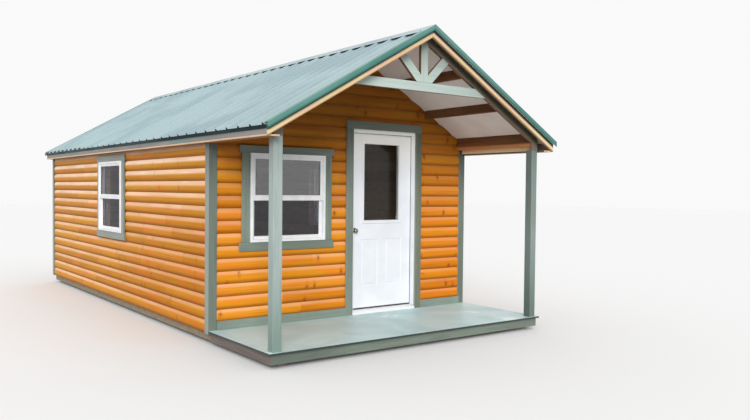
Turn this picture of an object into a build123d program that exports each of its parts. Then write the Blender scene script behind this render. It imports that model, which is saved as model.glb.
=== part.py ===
from build123d import *
import os
from math import cos, radians, sin, tan

os.makedirs("parts", exist_ok=True)

# Hunting cabin: one log-sided room with a covered porch under a ribbed metal gable roof.
# X runs across the front, Y from the porch to the back wall, Z up from the ground.
# The origin is on the ground, below the ridge, halfway between the two ends of the roof.

# Overall sizes
wall_width = 3454  # over the corner boards
wall_length = 6096  # over the corner boards
porch_depth = 1219  # front wall to the front of the posts
roof_pitch = 30.0  # degrees
front_overhang = 158  # posts to the edge of the roof
back_overhang = 60
eave_overhang = 100  # corner boards to the edge of the metal
eave_height = 1968  # deck to the top of the ribs at the eave

# Floor
skid_height = 38
skid_width = 89
skid_inset = 150
skid_front_setback = 100  # from the front of the posts
skid_back_setback = 20  # from the back of the floor frame
frame_depth = 89
joist_width = 38
joist_pitch = 406
deck_thickness = 19
deck_lip = 25  # porch deck past its rim boards
rim_thickness = 19
post_setback = 1  # posts behind the face of the front rim board

# Walls
stud_depth = 89
log_thickness = 38  # siding at the crown of a course
log_joint = 19  # siding at the joint between two courses
log_course = 127
side_course_start = -35  # from the deck
front_course_start = -55
board_width = 89
corner_step = 6  # corner board past the crown of the logs
trim_thickness = 22
skirt_height = 89

# Windows, all alike
window_width = 905
window_height = 914
window_head_gap = 3  # soffit to the board over a window
front_window_x = -830
side_window_y = 3048  # from the front corner boards
side_window_drop = 30  # below the front window
window_frame_width = 26
window_frame_depth = 80
window_proud = 15  # frame past the trim
sash_width = 34
sash_depth = 26
sash_recess = 8  # upper sash behind the face of the frame
glazing_bevel = 8
meeting_rail = 58
pane_thickness = 5
trim_ear = 28
head_board = 76  # height of the board over a window
joint_gap = 0.5  # between boards that meet

# Door, hinged at its right side and opening inwards
door_x = 460  # centre of the door from the ridge line
door_width = 914
door_height = 2032
door_thickness = 44
door_gap = 5
door_recess = 62  # corner boards to the face of the door
jamb_thickness = 20
stop_width = 25
threshold_height = 42
threshold_lip = 20
threshold_reach = 20  # past the jambs, onto the porch
door_trim_reveal = 456  # centre of the door to the inner edge of its trim
door_head_cover = 7  # head jamb behind the board over the door
panel_width = 250
panel_height = 541
panel_low = 253  # from the bottom of the door
panel_spacing = 350  # between the middles of the two panels
emboss_width = 33
emboss_depth = 5
emboss_slope = 40  # degrees
lite_width = 510
lite_height = 876
lite_head = 140  # top of the glass to the top of the door
lite_border = 40
lite_border_depth = 10
lite_border_slope = 20  # degrees
knob_height = 900  # from the bottom of the door
knob_backset = 70
knob_reach = 34  # door face to the middle of the ball
knob_radius = 26
knob_depth = 44  # from the front of the ball to its back
knob_bevel = 11
neck_radius = 11
rose_radius = 32
rose_thickness = 8
knob_sides = 24
hinge_height = 100
hinge_width = 30  # each leaf, along the edge of the door
hinge_plate = 2
pin_offset = 7  # hinge line behind the back of the door
pin_radius = 2.5
knuckle_radius = 6
pin_clearance = 0.3
hinge_heights = (230, 1010, 1800)

# Roof
sheathing = 12
edge_inset = 20  # sheathing short of the metal, at every edge
metal_gauge = 1.5
rib_height = 19
rib_base = 45
rib_top = 20
rib_pitch = 229
low_rib_height = 3
low_rib_base = 24
ridge_flange = 150
rake_leg = 47
rake_flange = 75
rake_board_depth = 72
rake_board_width = 25
rake_board_setback = 14
fascia_height = 111  # underside of the soffit below the ribs at the eave
fascia_thickness = 24
soffit_thickness = 15

# Porch
post_size = 89
post_edge = 4  # chamfer on the corners of a post
post_drop = 96  # tops of the posts below the ribs at the eave
beam_rise = 45  # underside of the porch beams above the tops of the posts
truss_thickness = 38
tie_rise = 422  # underside of the tie beam above the ribs at the eave
brace_foot = 35
brace_angle = 45
purlin_width = 38
purlin_depth = 89
purlin_first = 640  # down the slope from the ridge
purlin_pitch = 610

# Places that follow from them
half_width = wall_width / 2
roof_length = front_overhang + porch_depth + wall_length + back_overhang
roof_front = -roof_length / 2
roof_back = roof_length / 2
front = roof_front + front_overhang + porch_depth
back = front + wall_length
deck_underside = skid_height + frame_depth
deck = deck_underside + deck_thickness
siding_depth = log_thickness + corner_step
core_half = half_width - siding_depth
core_front = front + siding_depth
core_back = back - siding_depth
inner_half = core_half - stud_depth
inner_front = core_front + stud_depth
inner_back = core_back - stud_depth
porch_edge = front - porch_depth
rim_half = half_width - deck_lip
rim_front = porch_edge - post_setback
deck_edge = rim_front - deck_lip
slope = tan(radians(roof_pitch))
half_span = half_width + eave_overhang
roof_depth = rib_height + metal_gauge + sheathing
chord_depth = roof_depth + board_width
soffit_bottom = deck + eave_height - fascia_height
window_top = soffit_bottom - window_head_gap - head_board
window_bottom = window_top - window_height
side_window_top = window_top - side_window_drop
side_window_bottom = window_bottom - side_window_drop
post_top = deck + eave_height - post_drop
beam_bottom = post_top + beam_rise


def roof_z(x, depth=0.0):
    """Height at x of the plane that lies a given depth below the tops of the ribs."""
    return deck + eave_height + (half_span - abs(x)) * slope - depth / cos(radians(roof_pitch))


def roof_x(z, depth):
    """Distance from the ridge line at which that plane has a given height."""
    return half_span - (z + depth / cos(radians(roof_pitch)) - deck - eave_height) / slope


def across(y):
    """Plane across the cabin at y, seen from the porch: X to the right, Z up."""
    return Plane(origin=(0, y, 0), x_dir=(1, 0, 0), z_dir=(0, -1, 0))


def block(x0, x1, y0, y1, z0, z1, mode=Mode.ADD):
    """Squared timber or sheet between two corners, in the open part."""
    with BuildSketch(Plane.XY.offset(z0)) as section:
        with Locations(((x0 + x1) / 2, (y0 + y1) / 2)):
            Rectangle(abs(x1 - x0), abs(y1 - y0))
    extrude(section.sketch, amount=z1 - z0, mode=mode)


def panel(points, y0, y1, mode=Mode.ADD):
    """Flat outline in X and Z, from y0 back to y1, in the open part."""
    with BuildSketch(across(y1)) as section:
        with BuildLine():
            Polyline(*points, close=True)
        make_face()
    extrude(section.sketch, amount=y1 - y0, mode=mode)


def save(piece, name):
    piece.part.label = name
    export_step(piece.part, "parts/" + name + ".step")


def gable_outline(half, bottom, depth=roof_depth):
    """Gable wall up to the plane that lies a given depth below the ribs."""
    return [(-half, bottom), (half, bottom), (half, roof_z(half, depth)), (0, roof_z(0, depth)),
            (-half, roof_z(half, depth))]


# Skids: three treated timbers under the floor, along the cabin
with BuildPart() as skids:
    skid_x = core_half - skid_inset
    for x in (-skid_x, 0, skid_x):
        block(x - skid_width / 2, x + skid_width / 2, porch_edge + skid_front_setback,
              core_back - skid_back_setback, 0, skid_height)
save(skids, "skids")

# Floor frame: long rims with joists across them
with BuildPart() as floor_frame:
    frame_front = rim_front + rim_thickness
    for side in (-1, 1):
        block(side * (core_half - joist_width), side * core_half, frame_front, core_back,
              skid_height, deck_underside)
    joist_half = core_half - joist_width - joint_gap
    joist_count = int((core_back - frame_front - joist_width) / joist_pitch)
    joist_y = [frame_front + i * joist_pitch for i in range(joist_count + 1)]
    joist_y.append(core_back - joist_width)
    for y in joist_y:
        block(-joist_half, joist_half, y, y + joist_width, skid_height, deck_underside)
save(floor_frame, "floor_frame")

# Floor inside the room
with BuildPart() as floor_deck:
    block(-core_half, core_half, core_front, core_back, deck_underside, deck)
save(floor_deck, "floor_deck")

# Porch floor: a painted sheet that runs under the front siding
with BuildPart() as porch_floor:
    block(-half_width, half_width, deck_edge, front, deck_underside, deck)
    board_inner = half_width - board_width
    block(-board_inner, board_inner, front, core_front, deck_underside, deck)
save(porch_floor, "porch_floor")

# Porch rim: one board across the front and one down each side
with BuildPart() as porch_rim:
    block(-rim_half, rim_half, rim_front, rim_front + rim_thickness, skid_height, deck_underside)
    for side in (-1, 1):
        block(side * core_half, side * rim_half, rim_front + rim_thickness + joint_gap, front,
              skid_height, deck_underside)
save(porch_rim, "porch_rim")

# Door opening through the front wall, with the jambs' own clearance
opening_half = door_width / 2 + door_gap + jamb_thickness + joint_gap
door_left = door_x - opening_half
door_right = door_x + opening_half
door_bottom = deck + threshold_height + door_gap
door_top = door_bottom + door_height
opening_top = door_top + door_gap + jamb_thickness + joint_gap

# Front wall, split beside and over the door
front_gable = gable_outline(core_half, deck)
with BuildPart() as front_wall_left:
    panel(front_gable, core_front, inner_front)
    block(-core_half, door_left, core_front, inner_front, deck, opening_top, mode=Mode.INTERSECT)
    block(front_window_x - window_width / 2, front_window_x + window_width / 2, core_front,
          inner_front, window_bottom, window_top, mode=Mode.SUBTRACT)
save(front_wall_left, "front_wall_left")

with BuildPart() as front_wall_right:
    panel(front_gable, core_front, inner_front)
    block(door_right, core_half, core_front, inner_front, deck, opening_top, mode=Mode.INTERSECT)
save(front_wall_right, "front_wall_right")

with BuildPart() as front_wall_gable:
    panel(front_gable, core_front, inner_front)
    block(-core_half, core_half, core_front, inner_front, opening_top, roof_z(0), mode=Mode.INTERSECT)
save(front_wall_gable, "front_wall_gable")

# Back wall
with BuildPart() as back_wall:
    panel(gable_outline(core_half, deck), inner_back, core_back)
save(back_wall, "back_wall")

# Side walls, each with a window in its middle
window_y = front + side_window_y
for side, side_name in ((-1, "left"), (1, "right")):
    with BuildPart() as side_wall:
        panel([(side * inner_half, deck), (side * core_half, deck),
               (side * core_half, roof_z(core_half, roof_depth)),
               (side * inner_half, roof_z(inner_half, roof_depth))], inner_front, inner_back)
        block(side * inner_half, side * core_half, window_y - window_width / 2,
              window_y + window_width / 2, side_window_bottom, side_window_top, mode=Mode.SUBTRACT)
    save(side_wall, side_name + "_wall")


# Log siding: one rounded face to each course
def log_courses(plane, start, top, length):
    """Courses from the wall outwards, on a plane with X outwards and Y up, in the open part."""
    with BuildSketch(plane) as section:
        with BuildLine():
            z = start
            while z < top:
                ThreePointArc((log_joint, z), (log_thickness, z + log_course / 2),
                              (log_joint, z + log_course))
                z += log_course
            Polyline((log_joint, z), (0, z), (0, start), (log_joint, start))
        make_face()
    extrude(section.sketch, amount=length / 2, both=True)


siding_half = half_width - board_width
ridge_underside = roof_z(0, roof_depth)

with BuildPart() as front_siding:
    front_face = Plane(origin=(0, core_front, 0), x_dir=(0, -1, 0), z_dir=(-1, 0, 0))
    log_courses(front_face, deck + front_course_start, ridge_underside, 2 * siding_half)
    panel(gable_outline(siding_half, deck), front, core_front, mode=Mode.INTERSECT)
    block(door_left, door_right, front, core_front, deck, opening_top, mode=Mode.SUBTRACT)
    block(front_window_x - window_width / 2, front_window_x + window_width / 2, front,
          core_front, window_bottom, window_top, mode=Mode.SUBTRACT)
save(front_siding, "front_siding")

with BuildPart() as back_siding:
    back_face = Plane(origin=(0, core_back, 0), x_dir=(0, 1, 0), z_dir=(1, 0, 0))
    log_courses(back_face, deck + side_course_start, ridge_underside, 2 * siding_half)
    panel(gable_outline(siding_half, deck + side_course_start), core_back, back, mode=Mode.INTERSECT)
save(back_siding, "back_siding")

side_siding_length = wall_length - 2 * board_width
side_middle = (front + back) / 2
for side, side_name in ((-1, "left"), (1, "right")):
    with BuildPart() as side_siding:
        side_face = Plane(origin=(side * core_half, side_middle, 0), x_dir=(side, 0, 0),
                          z_dir=(0, -side, 0))
        log_courses(side_face, deck + side_course_start, soffit_bottom, side_siding_length)
        block(side * core_half, side * half_width, front, back, deck + side_course_start,
              soffit_bottom, mode=Mode.INTERSECT)
        block(side * core_half, side * half_width, window_y - window_width / 2,
              window_y + window_width / 2, side_window_bottom, side_window_top, mode=Mode.SUBTRACT)
    save(side_siding, side_name + "_siding")

# Corner boards: two boards to each corner, one facing the gable and one the side
corner_bottom = deck + side_course_start
with BuildPart() as corner_boards:
    for side in (-1, 1):
        for y_out, y_in in ((front, 1), (back, -1)):
            block(side * core_half, side * half_width, y_out, y_out + y_in * board_width,
                  corner_bottom, soffit_bottom)
            leg_bottom = deck_underside if y_in > 0 else corner_bottom
            block(side * (half_width - board_width), side * core_half, y_out,
                  y_out + y_in * siding_depth, leg_bottom, soffit_bottom)
save(corner_boards, "corner_boards")


# Windows: a vinyl frame, two sashes that slide past each other, and boards around it
def ring(plane, width, height, side, low, high, depth, centre=(0, 0), slope=0):
    """Four-sided frame extruded outwards from a plane, in the open part."""
    with BuildSketch(plane) as section:
        with Locations(centre):
            Rectangle(width, height)
        with Locations((centre[0], centre[1] + (low - high) / 2)):
            Rectangle(width - 2 * side, height - low - high, mode=Mode.SUBTRACT)
    extrude(section.sketch, amount=depth, taper=slope)


def sash(face, centre, low, high):
    """Sliding half of a window behind its face, bevelled towards the glass, in the open part."""
    ring(face.offset(-sash_depth), sash_outer_width, sash_height, sash_width, low, high,
         sash_depth, centre)
    with BuildSketch(face) as section:
        with Locations((centre[0], centre[1] + (low - high) / 2)):
            Rectangle(sash_outer_width - 2 * (sash_width - glazing_bevel),
                      sash_height - low - high + 2 * glazing_bevel)
    extrude(section.sketch, amount=-glazing_bevel, taper=45, mode=Mode.SUBTRACT)


front_window_plane = Plane(origin=(front_window_x, core_front, window_bottom + window_height / 2),
                           x_dir=(1, 0, 0), z_dir=(0, -1, 0))
left_window_plane = Plane(origin=(-core_half, window_y, side_window_bottom + window_height / 2),
                          x_dir=(0, -1, 0), z_dir=(-1, 0, 0))
right_window_plane = Plane(origin=(core_half, window_y, side_window_bottom + window_height / 2),
                           x_dir=(0, 1, 0), z_dir=(1, 0, 0))

trim_face = log_thickness + trim_thickness
frame_outer = trim_face + window_proud
sash_outer_width = window_width - 2 * joint_gap - 2 * window_frame_width - 2 * joint_gap
opening_height = window_height - 2 * joint_gap - 2 * window_frame_width - 2 * joint_gap
sash_height = (opening_height + meeting_rail) / 2
upper_sash_face = frame_outer - sash_recess
lower_sash_face = upper_sash_face - sash_depth - joint_gap
upper_centre = (0, (opening_height - sash_height) / 2)
lower_centre = (0, -(opening_height - sash_height) / 2)

window_panes = []
for window_name, window_plane in (("front", front_window_plane), ("left", left_window_plane),
                                  ("right", right_window_plane)):
    with BuildPart() as window:
        ring(window_plane.offset(frame_outer - window_frame_depth), window_width - 2 * joint_gap,
             window_height - 2 * joint_gap, window_frame_width, window_frame_width,
             window_frame_width, window_frame_depth)
        sash(window_plane.offset(upper_sash_face), upper_centre, meeting_rail, sash_width)
        sash(window_plane.offset(lower_sash_face), lower_centre, sash_width, meeting_rail)
    save(window, window_name + "_window")

    with BuildPart() as window_trim:
        head_width = window_width + 2 * board_width + 2 * trim_ear
        with BuildSketch(window_plane.offset(log_thickness)):
            with Locations((0, (window_height + head_board) / 2)):
                Rectangle(head_width, head_board)
            with Locations((0, -(window_height + board_width) / 2)):
                Rectangle(head_width, board_width)
            with Locations(((window_width + board_width) / 2, 0), (-(window_width + board_width) / 2, 0)):
                Rectangle(board_width, window_height - 2 * joint_gap)
        extrude(amount=trim_thickness)
    save(window_trim, window_name + "_window_trim")

    for face, centre, low, high in ((upper_sash_face, upper_centre, meeting_rail, sash_width),
                                    (lower_sash_face, lower_centre, sash_width, meeting_rail)):
        window_panes.append((window_plane.offset(face - (sash_depth + pane_thickness) / 2),
                             (centre[0], centre[1] + (low - high) / 2), sash_height - low - high))

with BuildPart() as window_glass:
    for pane_plane, pane_centre, pane_height in window_panes:
        with BuildSketch(pane_plane):
            with Locations(pane_centre):
                Rectangle(sash_outer_width - 2 * sash_width, pane_height)
        extrude(amount=pane_thickness)
save(window_glass, "window_glass")

# Door frame: two jambs and a head
door_face = front + door_recess
door_back = door_face + door_thickness
jamb_front = front + corner_step
jamb_half = door_width / 2 + door_gap
stop_half = jamb_half - stop_width
stop_back = door_face - door_gap
head_bottom = door_top + door_gap
with BuildPart() as door_frame:
    for side in (-1, 1):
        block(door_x + side * jamb_half, door_x + side * (jamb_half + jamb_thickness), jamb_front,
              door_back, deck, head_bottom - joint_gap)
    block(door_x - jamb_half - jamb_thickness, door_x + jamb_half + jamb_thickness, jamb_front,
          door_back, head_bottom, head_bottom + jamb_thickness)
save(door_frame, "door_frame")

# Stops on the jambs and the head, in front of the door
with BuildPart() as door_stops:
    for side in (-1, 1):
        block(door_x + side * stop_half, door_x + side * jamb_half, jamb_front, stop_back,
              deck + threshold_height, head_bottom)
    block(door_x - stop_half + joint_gap, door_x + stop_half - joint_gap, jamb_front, stop_back,
          head_bottom - stop_width, head_bottom)
save(door_stops, "door_stops")

# Threshold between the jambs, sloped to the porch
threshold_nose = jamb_front - threshold_reach
with BuildPart() as door_threshold:
    with BuildSketch(Plane.YZ.offset(door_x - jamb_half)):
        with BuildLine():
            Polyline((threshold_nose, deck), (door_back, deck), (door_back, deck + threshold_height),
                     (stop_back, deck + threshold_height), (threshold_nose, deck + threshold_lip),
                     close=True)
        make_face()
    extrude(amount=2 * jamb_half)
    for side in (-1, 1):
        block(door_x + side * (door_trim_reveal - joint_gap), door_x + side * jamb_half,
              threshold_nose, jamb_front, deck, deck + threshold_height, mode=Mode.SUBTRACT)
save(door_threshold, "door_threshold")

# Door trim: two boards with a third across their tops
trim_front = front + corner_step - trim_thickness
trim_back = front + corner_step
trim_outer = door_trim_reveal + board_width
trim_head = head_bottom + jamb_thickness - door_head_cover
with BuildPart() as door_trim:
    for side in (-1, 1):
        block(door_x + side * door_trim_reveal, door_x + side * trim_outer, trim_front,
              trim_back, deck, trim_head - joint_gap)
    block(door_x - trim_outer, door_x + trim_outer, trim_front, trim_back, trim_head,
          trim_head + board_width)
save(door_trim, "door_trim")

# Skirt boards along the foot of the front wall
with BuildPart() as front_skirt:
    block(-siding_half, door_x - trim_outer - joint_gap, trim_front, trim_back, deck,
          deck + skirt_height)
    block(door_x + trim_outer + joint_gap, siding_half, trim_front, trim_back, deck,
          deck + skirt_height)
save(front_skirt, "front_skirt")

# Door leaf: a steel skin with two pressed panels below a half-height light
door_low = door_x - door_width / 2
door_high = door_x + door_width / 2
lite_bottom = door_top - lite_head - lite_height
door_sides = [Plane(origin=(door_x, y, 0), x_dir=(-outwards, 0, 0), z_dir=(0, outwards, 0))
              for y, outwards in ((door_face, -1), (door_back, 1))]
with BuildPart() as door_leaf:
    block(door_low, door_high, door_face, door_back, door_bottom, door_top)
    block(door_x - lite_width / 2, door_x + lite_width / 2, door_face, door_back, lite_bottom,
          lite_bottom + lite_height, mode=Mode.SUBTRACT)
    for side_plane in door_sides:
        for side in (-1, 1):
            with BuildSketch(side_plane):
                with Locations((side * panel_spacing / 2, door_bottom + panel_low + panel_height / 2)):
                    Rectangle(panel_width, panel_height)
                    Rectangle(panel_width - 2 * emboss_width, panel_height - 2 * emboss_width,
                              mode=Mode.SUBTRACT)
            extrude(amount=-emboss_depth, taper=emboss_slope, mode=Mode.SUBTRACT)
save(door_leaf, "door_leaf")

# Raised border around the light, on both faces of the door
lite_centre = lite_bottom + lite_height / 2
with BuildPart() as door_lite_frame:
    for side_plane in door_sides:
        ring(side_plane, lite_width + 2 * lite_border, lite_height + 2 * lite_border, lite_border,
             lite_border, lite_border, lite_border_depth, (0, lite_centre), lite_border_slope)
save(door_lite_frame, "door_lite_frame")

with BuildPart() as door_glass:
    glass_middle = (door_face + door_back) / 2
    block(door_x - lite_width / 2, door_x + lite_width / 2, glass_middle - pane_thickness,
          glass_middle + pane_thickness, lite_bottom, lite_bottom + lite_height)
save(door_glass, "door_glass")

# Knob on each face of the door: a rose, a neck and a bevelled ball, each with many flat sides
knob_x = door_low + knob_backset
knob_z = door_bottom + knob_height
with BuildPart() as door_knob:
    for y, outwards in ((door_face, -1), (door_back, 1)):
        face_plane = Plane(origin=(knob_x, y, knob_z), x_dir=(1, 0, 0), z_dir=(0, outwards, 0))
        for radius, reach in ((rose_radius, rose_thickness), (neck_radius, knob_reach)):
            with BuildSketch(face_plane):
                RegularPolygon(radius, knob_sides)
            extrude(amount=reach)
        with BuildPart() as ball:
            with BuildSketch(face_plane.offset(knob_reach - knob_depth / 2)):
                RegularPolygon(knob_radius, knob_sides)
            extrude(amount=knob_depth)
            ends = ball.faces().sort_by(Axis.Y)
            chamfer(ends[0].edges() + ends[-1].edges(), length=knob_bevel)
save(door_knob, "door_knob")

# Hinges: a plate and two knuckles on the jamb, with a pin through the door's own knuckle
hinge_x = door_x + door_width / 2 + door_gap / 2
hinge_y = door_back + pin_offset
third = hinge_height / 3
plate_front = door_back - hinge_width


def barrel(radius, z0, z1, mode=Mode.ADD):
    """Round bar on the hinge line between two heights, in the open part."""
    with BuildSketch(Plane.XY.offset(z0)) as section:
        with Locations((hinge_x, hinge_y)):
            Circle(radius)
    extrude(section.sketch, amount=z1 - z0, mode=mode)


with BuildPart() as jamb_hinges:
    for height in hinge_heights:
        low = door_bottom + height
        face = door_x + jamb_half
        block(face - hinge_plate, face, plate_front, door_back, low, low + hinge_height)
        for z0 in (low, low + 2 * third):
            block(face - hinge_plate, face, door_back, hinge_y, z0, z0 + third - joint_gap)
            barrel(knuckle_radius, z0, z0 + third - joint_gap)
        barrel(pin_radius, low, low + hinge_height - joint_gap)
save(jamb_hinges, "jamb_hinges")

with BuildPart() as door_hinges:
    for height in hinge_heights:
        low = door_bottom + height
        face = door_x + door_width / 2
        block(face, face + hinge_plate, plate_front, door_back, low, low + hinge_height)
        z0 = low + third
        block(face, face + hinge_plate, door_back, hinge_y, z0, z0 + third - joint_gap)
        barrel(knuckle_radius, z0, z0 + third - joint_gap)
        barrel(pin_radius + pin_clearance, z0, z0 + third, mode=Mode.SUBTRACT)
save(door_hinges, "door_hinges")

# Roof sheathing, one plane to each slope
with BuildPart() as roof_sheathing:
    for side in (-1, 1):
        ridge_x = side * joint_gap / 2
        edge_x = side * (half_span - edge_inset)
        top_depth = rib_height + metal_gauge
        panel([(ridge_x, roof_z(ridge_x, top_depth)), (edge_x, roof_z(edge_x, top_depth)),
               (edge_x, roof_z(edge_x, roof_depth)), (ridge_x, roof_z(ridge_x, roof_depth))],
              roof_front + edge_inset, roof_back - edge_inset)
save(roof_sheathing, "roof_sheathing")


# Metal roofing: sheets with a high rib every nine inches and two low ones between, down the slope
def rib_line(length, level, grow, low_ribs):
    """Points along a ribbed sheet, centred, at a level above its bed."""
    step = rib_pitch / 3
    count = int((length / 2 - rib_base) / step)
    points = [(-length / 2, level)]
    for i in range(-count, count + 1):
        middle = i * step
        if i % 3 == 0:
            foot = rib_base / 2 + grow
            crest = rib_top / 2 + grow
            points += [(middle - foot, level), (middle - crest, level + rib_height),
                       (middle + crest, level + rib_height), (middle + foot, level)]
        elif low_ribs:
            points += [(middle - low_rib_base / 2, level), (middle, level + low_rib_height),
                       (middle + low_rib_base / 2, level)]
    points.append((length / 2, level))
    return points


metal_depth = rib_height + metal_gauge
metal_length = roof_length - 2 * metal_gauge - 2 * joint_gap
sheet_end = (half_span - metal_depth * sin(radians(roof_pitch))) / cos(radians(roof_pitch))
with BuildPart() as metal_roof:
    for side in (-1, 1):
        down = Vector(side * cos(radians(roof_pitch)), 0, -sin(radians(roof_pitch)))
        bed = Plane(origin=(0, (roof_front + roof_back) / 2, roof_z(0, metal_depth)),
                    x_dir=(0, side, 0), z_dir=down)
        with BuildSketch(bed.offset(edge_inset)):
            with BuildLine():
                upper = rib_line(metal_length, metal_gauge, 0, True)
                lower = rib_line(metal_length, 0, -metal_gauge / 2, False)
                Polyline(*upper, *reversed(lower), close=True)
            make_face()
        extrude(amount=sheet_end - edge_inset)
save(metal_roof, "metal_roof")

# Ridge cap folded over the tops of the ribs
with BuildPart() as ridge_cap:
    flange_x = ridge_flange * cos(radians(roof_pitch))
    panel([(-flange_x, roof_z(flange_x, 0)), (0, roof_z(0, 0)), (flange_x, roof_z(flange_x, 0)),
           (flange_x, roof_z(flange_x, -metal_gauge)), (0, roof_z(0, -metal_gauge)),
           (-flange_x, roof_z(flange_x, -metal_gauge))], roof_front + metal_gauge,
          roof_back - metal_gauge)
save(ridge_cap, "ridge_cap")


def slope_strip(x0, x1, high, low, y_edge, reach):
    """Strip down a slope between two depths below the ribs, reaching along Y, in the open part."""
    panel([(x0, roof_z(x0, high)), (x1, roof_z(x1, high)), (x1, roof_z(x1, low)), (x0, roof_z(x0, low))],
          min(y_edge, y_edge + reach), max(y_edge, y_edge + reach))


# Rake trim: metal folded over each end of the sheets, its flange on the ribs
with BuildPart() as rake_trim:
    for side in (-1, 1):
        for y_edge, inwards in ((roof_front, 1), (roof_back, -1)):
            slope_strip(side * (flange_x + joint_gap), side * half_span, -metal_gauge, 0, y_edge,
                        inwards * rake_flange)
            slope_strip(side * joint_gap / 2, side * half_span, 0, rake_leg, y_edge,
                        inwards * metal_gauge)
save(rake_trim, "rake_trim")

# Rake boards under the ends of the sheathing
with BuildPart() as rake_boards:
    for side in (-1, 1):
        for y_edge, inwards in ((roof_front, 1), (roof_back, -1)):
            slope_strip(side * joint_gap / 2, side * (half_span - edge_inset), roof_depth,
                        roof_depth + rake_board_depth,
                        y_edge + inwards * (rake_board_setback + edge_inset),
                        inwards * rake_board_width)
save(rake_boards, "rake_boards")

# Fascia along each eave, between the rake boards and on the edge of the soffit
fascia_front = roof_front + edge_inset + rake_board_setback + rake_board_width + joint_gap
fascia_back = roof_back - edge_inset - rake_board_setback - rake_board_width - joint_gap
fascia_outer = half_span - edge_inset
fascia_bottom = soffit_bottom + soffit_thickness
with BuildPart() as eave_fascia:
    for side in (-1, 1):
        inner_x = fascia_outer - fascia_thickness
        panel([(side * inner_x, fascia_bottom), (side * fascia_outer, fascia_bottom),
               (side * fascia_outer, roof_z(fascia_outer, roof_depth)),
               (side * inner_x, roof_z(inner_x, roof_depth))], fascia_front, fascia_back)
save(eave_fascia, "eave_fascia")

# Soffit boards from the walls out under the fascia, their raw edge showing below it
with BuildPart() as eave_soffits:
    for side in (-1, 1):
        block(side * core_half, side * fascia_outer, fascia_front, fascia_back, soffit_bottom,
              fascia_bottom)
save(eave_soffits, "eave_soffits")

# Porch posts at the two front corners of the deck
post_outer = core_half
post_inner = core_half - post_size
with BuildPart() as porch_posts:
    for side in (-1, 1):
        block(side * post_inner, side * post_outer, porch_edge, porch_edge + post_size, deck, post_top)
    chamfer(porch_posts.edges().filter_by(Axis.Z), post_edge)
save(porch_posts, "porch_posts")

# Porch beams from the posts back to the front wall, their tops cut to the roof
truss_back = porch_edge + truss_thickness
with BuildPart() as porch_beams:
    for side in (-1, 1):
        panel([(side * post_inner, beam_bottom), (side * post_outer, beam_bottom),
               (side * post_outer, roof_z(post_outer, roof_depth)),
               (side * post_inner, roof_z(post_inner, roof_depth))], truss_back, front + corner_step)
save(porch_beams, "porch_beams")

# Front truss: two chords, a tie beam, a king post and two braces
tie_low = deck + eave_height + tie_rise
tie_high = tie_low + board_width
web_low = tie_high + joint_gap
web_depth = chord_depth + joint_gap
king_half = board_width / 2


def chord_outline(side):
    """Top chord on one slope, with a level heel on the post."""
    ridge_x = joint_gap / 2
    return [(side * ridge_x, roof_z(ridge_x, roof_depth)),
            (side * post_outer, roof_z(post_outer, roof_depth)),
            (side * post_outer, post_top), (side * post_inner, post_top),
            (side * post_inner, roof_z(post_inner, chord_depth)),
            (side * ridge_x, roof_z(ridge_x, chord_depth))]


with BuildPart() as front_truss:
    for side in (-1, 1):
        panel(chord_outline(side), porch_edge, truss_back)

    low_half = roof_x(tie_low, web_depth)
    high_half = roof_x(tie_high, web_depth)
    panel([(-low_half, tie_low), (low_half, tie_low), (high_half, tie_high), (-high_half, tie_high)],
          porch_edge, truss_back)

    shoulder = roof_z(king_half, web_depth)
    panel([(-king_half, web_low), (king_half, web_low), (king_half, shoulder),
           (0, roof_z(0, web_depth)), (-king_half, shoulder)], porch_edge, truss_back)

    brace_room = king_half + joint_gap
    room_half = roof_x(web_low, web_depth)
    for side in (-1, 1):
        with BuildSketch(across(truss_back)):
            with BuildLine():
                Polyline((side * brace_room, web_low), (side * room_half, web_low),
                         (side * brace_room, roof_z(brace_room, web_depth)), close=True)
            make_face()
            with Locations((side * brace_foot, tie_high)):
                Rectangle(2 * room_half, board_width, rotation=side * brace_angle, mode=Mode.INTERSECT)
        extrude(amount=truss_thickness)
save(front_truss, "front_truss")

# Porch purlins under the sheathing, from the front wall to the truss
with BuildPart() as porch_purlins:
    for side in (-1, 1):
        for i in range(2):
            x = side * (purlin_first + i * purlin_pitch) * cos(radians(roof_pitch))
            x0 = x - purlin_width / 2
            x1 = x + purlin_width / 2
            low_z = roof_z(x, roof_depth) - purlin_depth
            panel([(x0, low_z), (x1, low_z), (x1, roof_z(x1, roof_depth)), (x0, roof_z(x0, roof_depth))],
                  truss_back, front + corner_step)
save(porch_purlins, "porch_purlins")
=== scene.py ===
import bmesh
import bpy
from math import asin, cos, pi, radians, sin, tan
from mathutils import Matrix, Vector
from random import Random


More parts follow.
